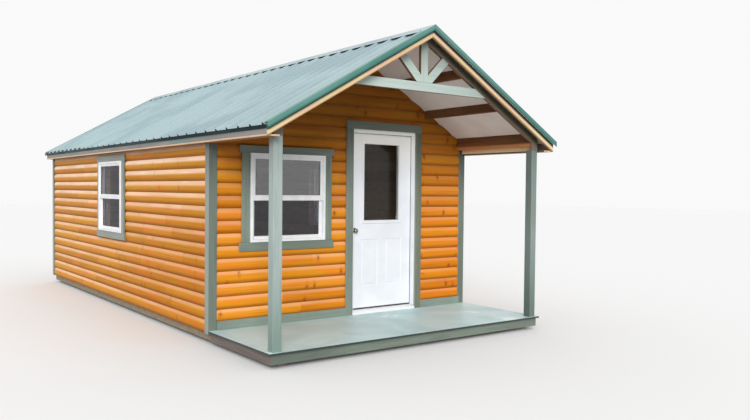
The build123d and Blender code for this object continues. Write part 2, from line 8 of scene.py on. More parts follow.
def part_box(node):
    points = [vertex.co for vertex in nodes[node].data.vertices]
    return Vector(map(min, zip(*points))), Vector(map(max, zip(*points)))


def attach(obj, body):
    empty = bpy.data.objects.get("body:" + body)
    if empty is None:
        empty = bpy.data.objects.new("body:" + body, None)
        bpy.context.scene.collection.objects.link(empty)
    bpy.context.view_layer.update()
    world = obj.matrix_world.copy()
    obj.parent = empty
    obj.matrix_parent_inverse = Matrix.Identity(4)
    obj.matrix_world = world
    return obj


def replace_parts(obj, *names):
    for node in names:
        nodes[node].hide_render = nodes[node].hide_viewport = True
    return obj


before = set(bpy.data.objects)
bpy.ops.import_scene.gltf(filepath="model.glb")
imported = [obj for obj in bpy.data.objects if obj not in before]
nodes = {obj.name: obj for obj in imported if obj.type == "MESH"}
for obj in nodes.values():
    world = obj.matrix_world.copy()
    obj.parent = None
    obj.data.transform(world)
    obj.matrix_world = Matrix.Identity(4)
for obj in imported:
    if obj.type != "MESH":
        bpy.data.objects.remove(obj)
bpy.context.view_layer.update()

# Skids and floor frame
# Three treated timbers lie on the ground along the cabin, with joists nailed across them.
# The wood is pressure-treated pine left bare, so it has weathered to a grey brown.
treated_light = (0.36, 0.30, 0.21)
treated_dark = (0.19, 0.15, 0.10)


def add_node(kind, inputs, tree=None, **settings):
    """Shader node with its settings, each input given a value or a link, in the tree of its links."""
    links = {socket: value for socket, value in inputs.items() if isinstance(value, bpy.types.NodeSocket)}
    tree = tree or next(iter(links.values())).id_data
    made = tree.nodes.new("ShaderNode" + kind)
    for setting, value in settings.items():
        setattr(made, setting, value)
    for socket, value in inputs.items():
        if socket in links:
            tree.links.new(value, made.inputs[socket])
        else:
            made.inputs[socket].default_value = value
    return made


def combine(operation, first, second=0.0, third=0.0):
    """Result of one sum on numbers or sockets."""
    return add_node("Math", {0: first, 1: second, 2: third}, operation=operation).outputs[0]


def times(first, second):
    """Product of two numbers or sockets."""
    return combine("MULTIPLY", first, second)


def fade(value, start, end, low=0.0, high=1.0):
    """Smooth step from low to high as a value goes from start to end."""
    inputs = {"Value": value, "From Min": start, "From Max": end, "To Min": low, "To Max": high}
    return add_node("MapRange", inputs, interpolation_type="SMOOTHSTEP").outputs[0]


def mix(factor, first, second, mode="MIX"):
    """Two colours or sockets mixed by a factor."""
    inputs = {0: factor}
    for socket, color in ((6, first), (7, second)):
        inputs[socket] = color if isinstance(color, bpy.types.NodeSocket) else (*color, 1)
    return add_node("Mix", inputs, data_type="RGBA", blend_type=mode).outputs[2]


def object_place(tree):
    """Object coordinates, in metres."""
    return add_node("TexCoord", {}, tree).outputs["Object"]


def split(vector):
    """The three parts of a vector."""
    return add_node("SeparateXYZ", {0: vector}).outputs


def along_board(tree, along):
    """Object coordinates turned so that the first runs along the boards, or those that are given."""
    if isinstance(along, bpy.types.NodeSocket):
        return along
    place = object_place(tree)
    if along == "X":
        return place
    parts = split(place)
    order = (1, 0, 2) if along == "Y" else (2, 0, 1)
    return add_node("CombineXYZ", {i: parts[axis] for i, axis in enumerate(order)}).outputs[0]


def noise(place, scale, detail, **more):
    """Cloudy value from 0 to 1."""
    inputs = {"Vector": place, "Scale": scale, "Detail": detail, **more}
    return add_node("TexNoise", inputs).outputs["Fac"]


def streaks(place, length, width, detail=5.0):
    """Grain from 0 to 1, in streaks about so long and wide."""
    stretched = add_node("Mapping", {"Vector": place, "Scale": (1 / length, 1 / width, 1 / width)})
    return noise(stretched.outputs[0], 1.0, detail, Roughness=0.6)


def new_finish(name, color, roughness, **sockets):
    """Material and its nodes, with the shader's values that are the same all over it."""
    finish = bpy.data.materials.new(name)
    finish.use_nodes = True
    shader = finish.node_tree.nodes["Principled BSDF"]
    shader.inputs["Base Color"].default_value = (*color, 1)
    shader.inputs["Roughness"].default_value = roughness
    for socket, value in sockets.items():
        shader.inputs[socket.replace("_", " ")].default_value = value
    return finish, finish.node_tree


def finished(finish, color=None, relief=None, depth=0.0006, strength=1.0, roughness=None):
    """Links what varies over a finish: colour, roughness, and relief over a depth in metres."""
    tree = finish.node_tree
    shader = tree.nodes["Principled BSDF"]
    for socket, value in (("Base Color", color), ("Roughness", roughness)):
        if value:
            tree.links.new(value, shader.inputs[socket])
    if relief:
        bump = add_node("Bump", {"Height": relief, "Distance": depth, "Strength": strength})
        tree.links.new(bump.outputs[0], shader.inputs["Normal"])
    return finish


def lumber_color(tree, along, light, dark):
    """Colour of sawn boards, fine grain over broad light and dark bands, and that fine grain."""
    place = along_board(tree, along)
    fine = fade(streaks(place, 0.45, 0.012), 0.3, 0.7)
    broad = fade(streaks(place, 1.6, 0.07, 2.0), 0.35, 0.65)
    grain = combine("MULTIPLY_ADD", fine, 0.65, times(broad, 0.35))
    return mix(grain, dark, light), fine


def bare_lumber(name, along, light, dark, roughness=0.75):
    """Unfinished sawn wood with its grain along one axis."""
    finish, tree = new_finish(name, light, roughness, Specular_IOR_Level=0.3)
    return finished(finish, *lumber_color(tree, along, light, dark))


def dress(finish, *names):
    """Gives a finish to nodes whose shape stays as it is."""
    for name in names:
        nodes[name].data.materials.clear()
        nodes[name].data.materials.append(finish)


dress(bare_lumber("treated_pine_lengthwise", "Y", treated_light, treated_dark), "skids")
dress(bare_lumber("treated_pine_crosswise", "X", treated_light, treated_dark), "floor_frame")

# Floor and walls of the room
# Plywood sheets are nailed on the joists, and the studs are lined inside with pine boards.
# None of it is painted, and it shows only through the door and the windows.
pine_light = (0.52, 0.36, 0.21)
pine_dark = (0.36, 0.23, 0.12)
lining_pitch = 0.14  # metres, the visible face of a lining board
lining_groove = 0.004
groove_depth = 0.003


def tint(color, shade, factor=1.0):
    """Colour multiplied by a shade, as far as a factor says."""
    return mix(factor, color, shade, "MULTIPLY")


def lining_boards():
    """Level pine boards with a narrow groove between them."""
    finish, tree = new_finish("pine_lining", pine_light, 0.6, Specular_IOR_Level=0.35)
    color, fine = lumber_color(tree, "X", pine_light, pine_dark)
    row = combine("DIVIDE", split(object_place(tree))[2], lining_pitch)
    groove = combine("LESS_THAN", combine("FRACT", row), lining_groove / lining_pitch)
    board = add_node("TexWhiteNoise", {"W": combine("FLOOR", row)}, noise_dimensions="1D")
    shade = combine("MULTIPLY_ADD", board.outputs["Value"], 0.3, 0.75)
    shade = times(shade, combine("MULTIPLY_ADD", groove, -0.7, 1.0))
    relief = combine("SUBTRACT", times(fine, 0.15), groove)
    return finished(finish, tint(color, shade), relief, groove_depth)


dress(bare_lumber("floor_plywood", "Y", pine_light, pine_dark), "floor_deck")
dress(lining_boards(), "front_wall_left", "front_wall_right", "front_wall_gable", "back_wall",
      "left_wall", "right_wall")

# Porch floor
# One plywood sheet painted grey green, with a nosing past the rim on three sides.
# The paint went on with a roller, and it has pale swirls where it is glossier.
board_ease = 0.0015
sharp_angle = radians(25)
merge_distance = 0.00001


def facing(tree, axis, sign):
    """1 on the faces that look along one axis of the object, and 0 on the rest."""
    part = split(add_node("TexCoord", {}, tree).outputs["Normal"])[axis]
    return combine("GREATER_THAN", times(part, sign), 0.5)


def swirled_deck_paint():
    """Satin floor paint with pale swirls and faint grain, and painted shade on the faces that don't look up.
    """
    finish, tree = new_finish("deck_paint_swirled", (0.5, 0.56, 0.52), 0.42, Specular_IOR_Level=0.35)
    place = object_place(tree)
    swirls = noise(place, 1.5, 3.0, Distortion=1.1)
    color = mix(fade(swirls, 0.36, 0.56), (0.46, 0.63, 0.64), (0.53, 0.71, 0.72))
    color = mix(fade(swirls, 0.60, 0.68), color, (0.72, 0.86, 0.86))
    # Painted shade: the faces that don't look up are nearly black.
    color = mix(facing(tree, 2, 1), (0.035, 0.05, 0.044), color)
    return finished(finish, color, streaks(place, 0.5, 0.01), 0.0008,
                    roughness=fade(swirls, 0.4, 0.7, 0.48, 0.32))


def merged_copy(node):
    """Mesh of a CAD node, its loose triangles joined to flat faces."""
    mesh = bmesh.new()
    mesh.from_mesh(nodes[node].data)
    bmesh.ops.remove_doubles(mesh, verts=mesh.verts, dist=merge_distance)
    bmesh.ops.dissolve_limit(mesh, angle_limit=radians(1), verts=mesh.verts, edges=mesh.edges)
    return mesh


def ease(mesh, edges, width):
    """Rounds some edges of a mesh."""
    bmesh.ops.bevel(mesh, geom=edges, offset=width, affect="EDGES", segments=2, profile=0.5,
                    material=-1, clamp_overlap=True)


def add_object(name, data):
    """New object in the scene."""
    made = bpy.data.objects.new(name, data)
    bpy.context.scene.collection.objects.link(made)
    return made


def add_piece(name, mesh, finish, body="cabin", smooth_angle=None):
    """Object from a finished mesh, with its finish, riding on a body."""
    if smooth_angle:
        for face in mesh.faces:
            face.smooth = True
    data = bpy.data.meshes.new(name)
    mesh.to_mesh(data)
    mesh.free()
    data.materials.append(finish)
    if smooth_angle:
        data.set_sharp_from_angle(angle=smooth_angle)
    piece = add_object(name, data)
    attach(piece, body)
    return piece


def eased(node, finish, width=board_ease):
    """Copy of a node with its sharp edges rounded, which stands for it."""
    mesh = merged_copy(node)
    ease(mesh, [edge for edge in mesh.edges if edge.is_manifold and edge.calc_face_angle() > sharp_angle],
         width)
    piece = add_piece(node + "_eased", mesh, finish)
    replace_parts(piece, node)
    return piece


eased("porch_floor", swirled_deck_paint())

# Porch rim
# Three boards stand on edge round the porch frame, with the front one over the ends of the others.
# Only the front one is painted. The sides were left bare and have weathered.
trim_green = (0.20, 0.245, 0.20)
trim_green_low = (0.155, 0.19, 0.155)
# the same sage, lighter, for painted light on faces to the sides
trim_green_lit_side = (0.31, 0.35, 0.31)


def painted_color(tree, along, color, low):
    """Colour of brushed paint, with faint streaks along the boards, and those streaks."""
    place = along_board(tree, along)
    brush = streaks(place, 0.35, 0.02, 3.0)
    cloud = streaks(place, 0.9, 0.45, 2.0)
    spread = combine("MULTIPLY_ADD", brush, 0.5, times(cloud, 0.5))
    return mix(fade(spread, 0.38, 0.6), low, color), brush


def rim_finish():
    """Green paint on the face to the front, and weathered lumber on the rest."""
    finish, tree = new_finish("rim_paint_and_lumber", trim_green, 0.55)
    painted = painted_color(tree, "X", trim_green, trim_green_low)[0]
    bare, fine = lumber_color(tree, "Y", (0.20, 0.16, 0.145), (0.105, 0.08, 0.07))
    painted = tint(painted, fade(split(object_place(tree))[0], -1.7, -0.6, 0.6, 0.94))
    return finished(finish, mix(facing(tree, 1, -1), bare, painted), fine, 0.0008)


eased("porch_rim", rim_finish())

# Log siding
# Pine boards with a rounded face are nailed over each other in courses, and meet in butt joints.
# A clear honey stain lets the knots and the grain show, and gives a half gloss.
log_course = 0.127
log_crown = 0.038
log_joint = 0.019
log_gap = 0.003
log_arc_steps = 10
butt_gap = 0.0014
side_drop = 0.035  # first course of a side or the back wall, below the deck
front_drop = 0.055
shortest_board = 0.55
longest_board = 2.9
knot_spacing = 0.17
knot_share = 0.22
roof_pitch = radians(30)
deck_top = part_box("porch_floor")[1].z
honey = (0.42, 0.12, 0.006)
knot_brown = (0.25, 0.06, 0.006)
# pale colour of the painted highlight on top of each log board
highlight_honey = (1.0, 0.735, 0.54)
front_tones = ((0.0, (0.60, 0.175, 0.008)), (0.35, (0.73, 0.25, 0.011)), (0.65, (0.79, 0.30, 0.015)),
               (0.85, (0.80, 0.28, 0.026)), (1.0, (0.68, 0.20, 0.010)))
side_tones = ((0.0, (0.54, 0.195, 0.010)), (0.35, (0.65, 0.275, 0.015)), (0.65, (0.71, 0.32, 0.021)),
              (0.85, (0.73, 0.29, 0.034)), (1.0, (0.58, 0.205, 0.011)))


def ramp(factor, stops):
    """Colour from a list of places between 0 and 1, each with its colour."""
    made = add_node("ValToRGB", {0: factor})
    elements = made.color_ramp.elements
    while len(elements) < len(stops):
        elements.new(0.5)
    for element, (place, color) in zip(elements, stops):
        element.position = place
        element.color = (*color, 1)
    return made.outputs[0]


def vector_of(first=0.0, second=0.0, third=0.0):
    """Vector from three numbers or sockets."""
    return add_node("CombineXYZ", {0: first, 1: second, 2: third}).outputs[0]


def shift(vector, step):
    """Sum of two vectors."""
    return add_node("VectorMath", {0: vector, 1: step}, operation="ADD").outputs[0]


def knots_in(place, strength):
    """How far a place is in the grain round a knot, and how far in the knot itself."""
    parts = split(place)
    flat = vector_of(times(parts[0], 1.5), times(parts[2], 0.75))
    wobble = add_node("TexNoise", {"Vector": place, "Scale": 26.0, "Detail": 2.0}).outputs["Color"]
    wobbled = add_node("VectorMath", {0: wobble, 1: (0.02, 0.02, 0.02), 2: flat},
                       operation="MULTIPLY_ADD").outputs[0]
    knot = add_node("TexVoronoi", {"Vector": wobbled, "Scale": 1 / knot_spacing, "Randomness": 1.0},
                    voronoi_dimensions="2D").outputs
    pick = add_node("SeparateColor", {0: knot["Color"]}).outputs
    chosen = times(combine("GREATER_THAN", pick[0], 1 - knot_share), strength)
    size = combine("MULTIPLY_ADD", pick[1], 0.07, 0.05)
    core = fade(combine("DIVIDE", knot["Distance"], size), 1.3, 0.3)
    return times(chosen, fade(knot["Distance"], 0.34, 0.05)), times(chosen, core)


def honey_logs(name, along, tones, knots, gloss, highlight_share, worn, shade):
    """Stained log siding along one axis, with grain and knots, painted highlights on top of each board and
    painted shade.
    """
    finish, tree = new_finish(name, tones[1][1], 0.42, Specular_IOR_Level=gloss)
    board = add_node("Attribute", {}, tree, attribute_name="board_tone").outputs["Fac"]
    place = along_board(tree, along)
    shifted = shift(place, vector_of(times(board, 41.0), times(board, 17.0)))
    near_knot, knot_core = knots_in(shifted, knots)
    bent = shift(shifted, vector_of(third=times(near_knot, 0.035)))
    fine = streaks(bent, 0.5, 0.007, 6.0)
    wide = streaks(bent, 1.1, 0.035, 3.0)

    tone = combine("MULTIPLY_ADD", board, 0.7, combine("MULTIPLY_ADD", wide, 0.9, -0.3))
    color = ramp(tone, tones)
    color = mix(fade(fine, 0.5, 0.72, 0.0, 0.5), color, honey)
    color = mix(times(near_knot, 0.55), color, (0.40, 0.11, 0.007))
    blush = fade(streaks(shifted, 0.45, 0.09, 1.0), 0.52, 0.7, 0.0, 0.45)
    color = mix(blush, color, (0.82, 0.215, 0.03))

    slant = split(add_node("TexCoord", {}, tree).outputs["Normal"])[2]
    wall = split(place)
    height = wall[2]
    # Darker and more orange low down on the wall, fading out along the span that worn gives.
    fresh = times(fade(height, 0.9, 1.9, 1.0, 0.0), fade(wall[0], *worn, 1.0, 0.0))
    color = tint(color, (0.95, 0.84, 0.6), fresh)
    # Painted highlight: a pale band on the upward-facing part of each board, stronger higher up the wall.
    highlight_low = fade(wall[0], *worn, 0.5 * highlight_share[0], highlight_share[0])
    highlight_strength = fade(height, 0.9, 2.0, highlight_low, highlight_share[1])
    highlight_band_start = fade(height, 0.4, 1.9, 0.16, -0.02)
    band = fade(slant, highlight_band_start, combine("ADD", highlight_band_start, 0.26))
    highlight_patches = fade(streaks(shifted, 0.8, 0.12, 2.0), 0.35, 0.62, 0.7, 1.0)
    color = mix(times(times(band, highlight_strength), highlight_patches), color, highlight_honey)
    # Painted shade on the downward-facing part of each board, less of it towards the top of the wall.
    under = fade(slant, -0.15, -0.56, 0.0, 0.7)
    painted_shade_below = times(under, fade(height, 1.6, 2.4, 1.0, shade))
    color = mix(painted_shade_below, color, (0.26, 0.075, 0.005))
    color = mix(times(knot_core, 0.85), color, knot_brown)
    # Painted shade, darkening the wall towards its top as far as shade says.
    return finished(finish, tint(color, fade(height, 1.2, 2.4, 1.0, shade)), fine)


def only(kind, geom):
    """The parts of one kind among those that an operator returns."""
    return [part for part in geom if isinstance(part, kind)]


def faces_of(verts):
    """All faces that touch some vertices."""
    return list({face for vert in verts for face in vert.link_faces})


def log_template():
    """Mesh of one log board, a metre long, its rounded face to -Y."""
    sagitta = log_crown - log_joint
    height = log_course - log_gap
    radius = height ** 2 / (8 * sagitta) + sagitta / 2
    half_angle = asin(height / 2 / radius)
    mesh = bmesh.new()
    corners = [mesh.verts.new((0, y, 0)) for y in (0, -log_joint)]
    mesh.edges.new(corners)
    bmesh.ops.spin(mesh, geom=[corners[1]], cent=(0, radius - log_crown, height / 2), axis=(1, 0, 0),
                   angle=-2 * half_angle, steps=log_arc_steps)
    top = max(mesh.verts, key=lambda vert: vert.co.z)
    back = mesh.verts.new((0, 0, height))
    mesh.edges.new((top, back))
    mesh.edges.new((back, corners[0]))
    end = bmesh.ops.contextual_create(mesh, geom=mesh.edges[:])["faces"]
    grown = bmesh.ops.extrude_face_region(mesh, geom=end)["geom"]
    bmesh.ops.translate(mesh, vec=(1, 0, 0), verts=only(bmesh.types.BMVert, grown))
    bmesh.ops.recalc_face_normals(mesh, faces=mesh.faces)
    data = bpy.data.meshes.new("log_template")
    mesh.to_mesh(data)
    mesh.free()
    return data


log_board_mesh = log_template()


def cut_board(mesh, faces, point, normal):
    """Cuts away the part of a board beyond a plane, closes the cut and returns its faces."""
    geom = list({part for face in faces for part in (*face.verts, *face.edges, face)})
    cut = bmesh.ops.bisect_plane(mesh, geom=geom, dist=merge_distance, plane_co=point, plane_no=normal,
                                 clear_outer=True)
    filled = bmesh.ops.edgenet_fill(mesh, edges=only(bmesh.types.BMEdge, cut["geom_cut"]))["faces"]
    return only(bmesh.types.BMFace, cut["geom"]) + filled


def lay_board(mesh, tone, left, right, course_low, limits, shade, ridge, reach):
    """Adds one board of a course, cut to its height limits and under the roof."""
    laid = set(mesh.verts)
    mesh.from_mesh(log_board_mesh)
    fresh = [vert for vert in mesh.verts if vert not in laid]
    bmesh.ops.scale(mesh, vec=(right - left - butt_gap, 1, 1), verts=fresh)
    bmesh.ops.translate(mesh, vec=(left + butt_gap / 2, 0, course_low), verts=fresh)
    faces = faces_of(fresh)
    low, high = limits
    if low > course_low:
        faces = cut_board(mesh, faces, (0, 0, low), (0, 0, -1))
    if high < course_low + log_course:
        faces = cut_board(mesh, faces, (0, 0, high), (0, 0, 1))
    if ridge:
        for side in (-1, 1):
            if side * (right if side > 0 else left) > reach - log_course / tan(roof_pitch):
                faces = cut_board(mesh, faces, (0, 0, ridge), (side * sin(roof_pitch), 0, cos(roof_pitch)))
    for face in faces:
        face[tone] = shade


def butt_joints(chance, half):
    """Ends of the boards of one course, from one end of a wall to the other."""
    ends = [-half]
    while half - ends[-1] > longest_board:
        room = half - ends[-1] - shortest_board
        ends.append(ends[-1] + min(chance.uniform(shortest_board, longest_board), room))
    if half - ends[-1] > 2 * shortest_board and chance.random() < 0.6:
        ends.append(chance.uniform(ends[-1] + shortest_board, half - shortest_board))
    return ends + [half]


def beside_opening(run, opening):
    """The parts of one board that are left round an opening."""
    left, right, low, high, shade = run
    open_left, open_right, open_low, open_high = opening
    if open_low >= high or open_high <= low or right <= open_left or left >= open_right:
        return [run]
    middle = (max(left, open_left), min(right, open_right))
    parts = ((left, open_left, low, high), (open_right, right, low, high), (*middle, low, open_low),
             (*middle, open_high, high))
    return [(*part, shade) for part in parts if part[0] < part[1] and part[2] < part[3]]


def log_wall(name, turn, half, box, drop, openings, ridge, finish, seed):
    """Courses of log boards on one wall, left open at its doors and windows."""
    chance = Random(seed)
    mesh = bmesh.new()
    tone = mesh.faces.layers.float.new("board_tone")
    course_low = deck_top - drop
    while course_low < box[1].z:
        course_high = course_low + log_course
        reach = min(half, (ridge - course_low) / tan(roof_pitch)) if ridge else half
        ends = butt_joints(chance, half)
        runs = [(left, right, course_low, course_high, chance.random())
                for left, right in zip(ends, ends[1:]) if left < reach and right > -reach]
        for opening in openings:
            runs = [part for run in runs for part in beside_opening(run, opening)]
        for left, right, low, high, shade in runs:
            lay_board(mesh, tone, left, right, course_low, (max(low, box[0].z), min(high, box[1].z)), shade,
                      ridge, reach)
        course_low = course_high
    bmesh.ops.rotate(mesh, verts=mesh.verts, cent=(0, 0, 0), matrix=Matrix.Rotation(turn, 3, "Z"))
    middle = (box[0] + box[1]) / 2
    wall_plane = {"front": (0, box[1].y), "back": (0, box[0].y), "left": (box[1].x, middle.y),
                  "right": (box[0].x, middle.y)}[name]
    bmesh.ops.translate(mesh, verts=mesh.verts, vec=(*wall_plane, 0))
    piece = add_piece(name + "_log_boards", mesh, finish, smooth_angle=radians(20))
    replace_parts(piece, name + "_siding")


def opening_in(node, axis, sign, middle):
    """Sides, bottom and top of the hole for a window or a door, as a wall sees them."""
    low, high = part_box(node)
    sides = sorted(sign * (corner[axis] - middle) for corner in (low, high))
    return (*sides, low.z, high.z)


front_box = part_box("front_siding")
back_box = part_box("back_siding")
left_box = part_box("left_siding")
side_middle = (left_box[0].y + left_box[1].y) / 2
side_half = (left_box[1].y - left_box[0].y) / 2
front_logs = honey_logs("honey_stain_front", "X", front_tones, 1.0, 0.1, (0.3, 0.05), (1.5, -0.6), 0.42)
back_logs = honey_logs("honey_stain_back", "X", side_tones, 0.8, 0.1, (0.5, 0.7), (-1.7, 1.7), 0.95)
side_logs = honey_logs("honey_stain_side", "Y", side_tones, 0.5, 0.04, (0.6, 1.0), (-2.2, 2.6), 0.97)
front_openings = [opening_in(node, 0, 1, 0) for node in ("front_window", "door_frame")]
log_wall("front", 0, front_box[1].x, front_box, front_drop, front_openings, front_box[1].z, front_logs, 11)
log_wall("back", pi, back_box[1].x, back_box, side_drop, [], back_box[1].z, back_logs, 23)
log_wall("left", -pi / 2, side_half, left_box, side_drop, [opening_in("left_window", 1, -1, side_middle)],
         None, side_logs, 5)
log_wall("right", pi / 2, side_half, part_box("right_siding"), side_drop,
         [opening_in("right_window", 1, 1, side_middle)], None, side_logs, 31)

# Corner boards, skirt and the boards round the windows and the door
# One-by-four pine, nailed through the siding and painted sage after it was up.
# The paint is a flat brushed one, a little thin, so the grain still reads through it.
brown_shade_span = (0.85, 1.0)  # metres right of the ridge line


def trim_paint(name, along, shade, color=trim_green, low=trim_green_low, side=trim_green_lit_side, brown_shade_tint=None):
    """Brushed satin paint, with painted light on faces to the sides, painted shade towards the top of the
    wall, and a painted brown shade where a tint is given.
    """
    finish, tree = new_finish(name, color, 0.5)
    painted, brush = painted_color(tree, along, color, low)
    place = split(object_place(tree))
    # Painted light: faces to the sides take the lighter copy of the paint.
    if side:
        lit_side_color = painted_color(tree, along, side, tuple(0.82 * part for part in side))[0]
        sideways = combine("MAXIMUM", facing(tree, 0, 1), facing(tree, 0, -1))
        painted = mix(sideways, painted, lit_side_color)
    # Painted shade, darker towards the top of the wall.
    painted = tint(painted, fade(place[2], 1.3, 2.3, 1.0, shade))
    # Painted shade, browned by light off the orange logs, towards the right edge of the door trim.
    if brown_shade_tint:
        painted = tint(painted, brown_shade_tint, fade(place[0], *brown_shade_span, 0.0, 0.9))
    grain = streaks(along_board(tree, along), 0.5, 0.006)
    return finished(finish, painted, combine("ADD", brush, grain))


def loose_parts(mesh):
    """Vertices of each separate solid of a mesh, in the mesh's own order."""
    seen = set()
    parts = []
    for start in mesh.verts:
        if start in seen:
            continue
        part = [start]
        seen.add(start)
        for vert in part:
            for edge in vert.link_edges:
                other = edge.other_vert(vert)
                if other not in seen:
                    seen.add(other)
                    part.append(other)
        parts.append(part)
    return parts


def corners_of(verts):
    """Lowest and highest corner round some vertices."""
    places = [vert.co for vert in verts]
    return (Vector(min(place[axis] for place in places) for axis in range(3)),
            Vector(max(place[axis] for place in places) for axis in range(3)))


def grain_along(piece, finish, axis):
    """Gives a second finish to the boards of a piece that are longest along one axis."""
    piece.data.materials.append(finish)
    mesh = bmesh.new()
    mesh.from_mesh(piece.data)
    for part in loose_parts(mesh):
        low, high = corners_of(part)
        across = high - low
        if across[axis] == max(across):
            for face in faces_of(part):
                face.material_index = 1
    mesh.to_mesh(piece.data)
    mesh.free()


# The corner boards' sage is darker than the other trim: painted shade.
shaded_corner_trim = trim_paint("sage_trim_corner", "Z", 0.3, (0.15, 0.185, 0.15), (0.115, 0.14, 0.115))
eased("corner_boards", shaded_corner_trim)
eased("front_skirt", trim_paint("sage_trim_level", "X", 1.0, (0.23, 0.28, 0.235), (0.18, 0.225, 0.185), None))
upright_trim = trim_paint("sage_trim_upright", "Z", 0.62)
head_trim = trim_paint("sage_trim_head", "X", 0.62)
side_head_trim = trim_paint("sage_trim_side_head", "Y", 0.62)
door_side_trim = trim_paint("sage_trim_door", "Z", 0.55, brown_shade_tint=(0.80, 0.70, 0.58))
trim_faces = (("front_window_trim", 1, -1), ("left_window_trim", 0, -1), ("right_window_trim", 0, 1),
              ("door_trim", 1, -1))
for trim, axis, *_ in trim_faces:
    piece = eased(trim, door_side_trim if trim == "door_trim" else upright_trim)
    grain_along(piece, head_trim if axis == 1 else side_head_trim, 1 - axis)

# Nails in the trim
# Round-headed steel nails hold each board in pairs, close to its two edges all along it.
# They were painted over with the boards, and the paint is thin on the heads.
nail_spacing = 0.4
nail_inset = 0.019
nail_radii = (0.0034, 0.0034)
nail_rise = 0.0006
nail_sides = 8


def head(mesh, sides, radii, depth, place):
    """Head or washer of a nail or a screw."""
    bmesh.ops.create_cone(mesh, cap_ends=True, segments=sides, radius1=radii[0], radius2=radii[1],
                          depth=depth, matrix=place)


def nail_board(mesh, low, high, out, sign):
    """Pairs of nail heads along the face of a board that looks out along one axis."""
    across = high - low
    long = max((axis for axis in range(3) if axis != out), key=lambda axis: across[axis])
    wide = 3 - out - long
    pairs = max(2, round(across[long] / nail_spacing))
    turn = Matrix.Rotation(pi / 2, 4, "Y" if out == 0 else "X")
    for step in range(pairs):
        for edge in (low[wide] + nail_inset, high[wide] - nail_inset):
            place = Vector((0, 0, 0))
            place[out] = (high if sign > 0 else low)[out]
            place[wide] = edge
            place[long] = low[long] + across[long] * (step + 0.5) / pairs
            head(mesh, nail_sides, nail_radii, 2 * nail_rise, Matrix.Translation(place) @ turn)


nails = bmesh.new()
for trim, axis, sign in (*trim_faces, ("front_skirt", 1, -1), ("porch_rim", 1, -1), ("corner_boards", 0, 0)):
    boards = merged_copy(trim)
    for low, high in map(corners_of, loose_parts(boards)):
        if trim == "corner_boards":
            nail_board(nails, low, high, 0, 1 if low.x > 0 else -1)
            nail_board(nails, low, high, 1, 1 if low.y > 0 else -1)
        elif trim != "porch_rim" or high.x - low.x > 1:
            nail_board(nails, low, high, axis, sign)
    boards.free()
nail_paint = trim_paint("sage_nail_heads", "Z", 1.0, (0.15, 0.18, 0.15), (0.09, 0.105, 0.09), None)
add_piece("trim_nails", nails, nail_paint)

# Windows
# White vinyl single-hung windows: a welded frame and two sashes with a meeting rail.
# Each was screwed through its jambs, and two covers on its sill keep the drain holes clear.
window_ease = 0.0012
weep_inset = 0.11
weep_half = (0.018, 0.002, 0.0055)
weep_rise = 0.016


def clouded(tree, scale, detail, start, end, low, high):
    """Colour that goes from low to high in clouds."""
    return mix(fade(noise(object_place(tree), scale, detail), start, end), low, high)


def block(mesh, low, high, width):
    """Small part between two corners, with its edges rounded."""
    low, high = Vector(low), Vector(high)
    place = Matrix.Translation((low + high) / 2) @ Matrix.Diagonal((*(high - low), 1))
    verts = bmesh.ops.create_cube(mesh, size=1.0, matrix=place)["verts"]
    ease(mesh, list({edge for vert in verts for edge in vert.link_edges}), width)


def block_round(mesh, middle, half, width):
    """Small part given by its middle and half its size."""
    block(mesh, Vector(middle) - Vector(half), Vector(middle) + Vector(half), width)


vinyl, tree = new_finish("white_vinyl", (0.85, 0.86, 0.87), 0.32)
finished(vinyl, clouded(tree, 9.0, 3.0, 0.35, 0.65, (0.80, 0.81, 0.82), (0.88, 0.885, 0.89)))
weep_covers = bmesh.new()
for window, axis, sign in (("front_window", 1, -1), ("left_window", 0, -1), ("right_window", 0, 1)):
    eased(window, vinyl, window_ease)
    low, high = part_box(window)
    half = Vector(weep_half) if axis == 1 else Vector(weep_half).yxz
    for end in (low[1 - axis] + weep_inset, high[1 - axis] - weep_inset):
        middle = Vector((end, end, low.z + weep_rise))
        middle[axis] = (low if sign < 0 else high)[axis] + sign * half[axis]
        block_round(weep_covers, middle, half, window_ease)
add_piece("weep_covers", weep_covers, vinyl)

# Window glass
# Clear float glass, set in each sash between beads of dark rubber that seal it on both faces.
# The panes differ in how much they reflect, and the upper one of the front window reflects most.
upper_sash = 1.45  # metres above the ground, in the meeting rail
side_wall = 1.5  # metres from the ridge line, between the front panes and the side ones
gasket_width = 0.004
gasket_depth = 0.002


def clear_pane(name, shade, bend):
    """Clear float glass, which reflects more at a glancing angle."""
    finish, tree = new_finish(name, shade, 0.0, IOR=bend, Transmission_Weight=1.0)
    return finished(finish, None, noise(object_place(tree), 2.5, 1.0), 0.002, 0.25)


def window_panes(name, finish, wanted):
    """Copy of the panes whose corners pass a test, which stands for the glass of all windows."""
    mesh = merged_copy("window_glass")
    panes = [(part, corners_of(part)) for part in loose_parts(mesh)]
    dropped = [vert for part, corners in panes if not wanted(*corners) for vert in part]
    bmesh.ops.delete(mesh, geom=dropped, context="VERTS")
    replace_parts(add_piece(name, mesh, finish), "window_glass")
    return [corners for part, corners in panes if wanted(*corners)]


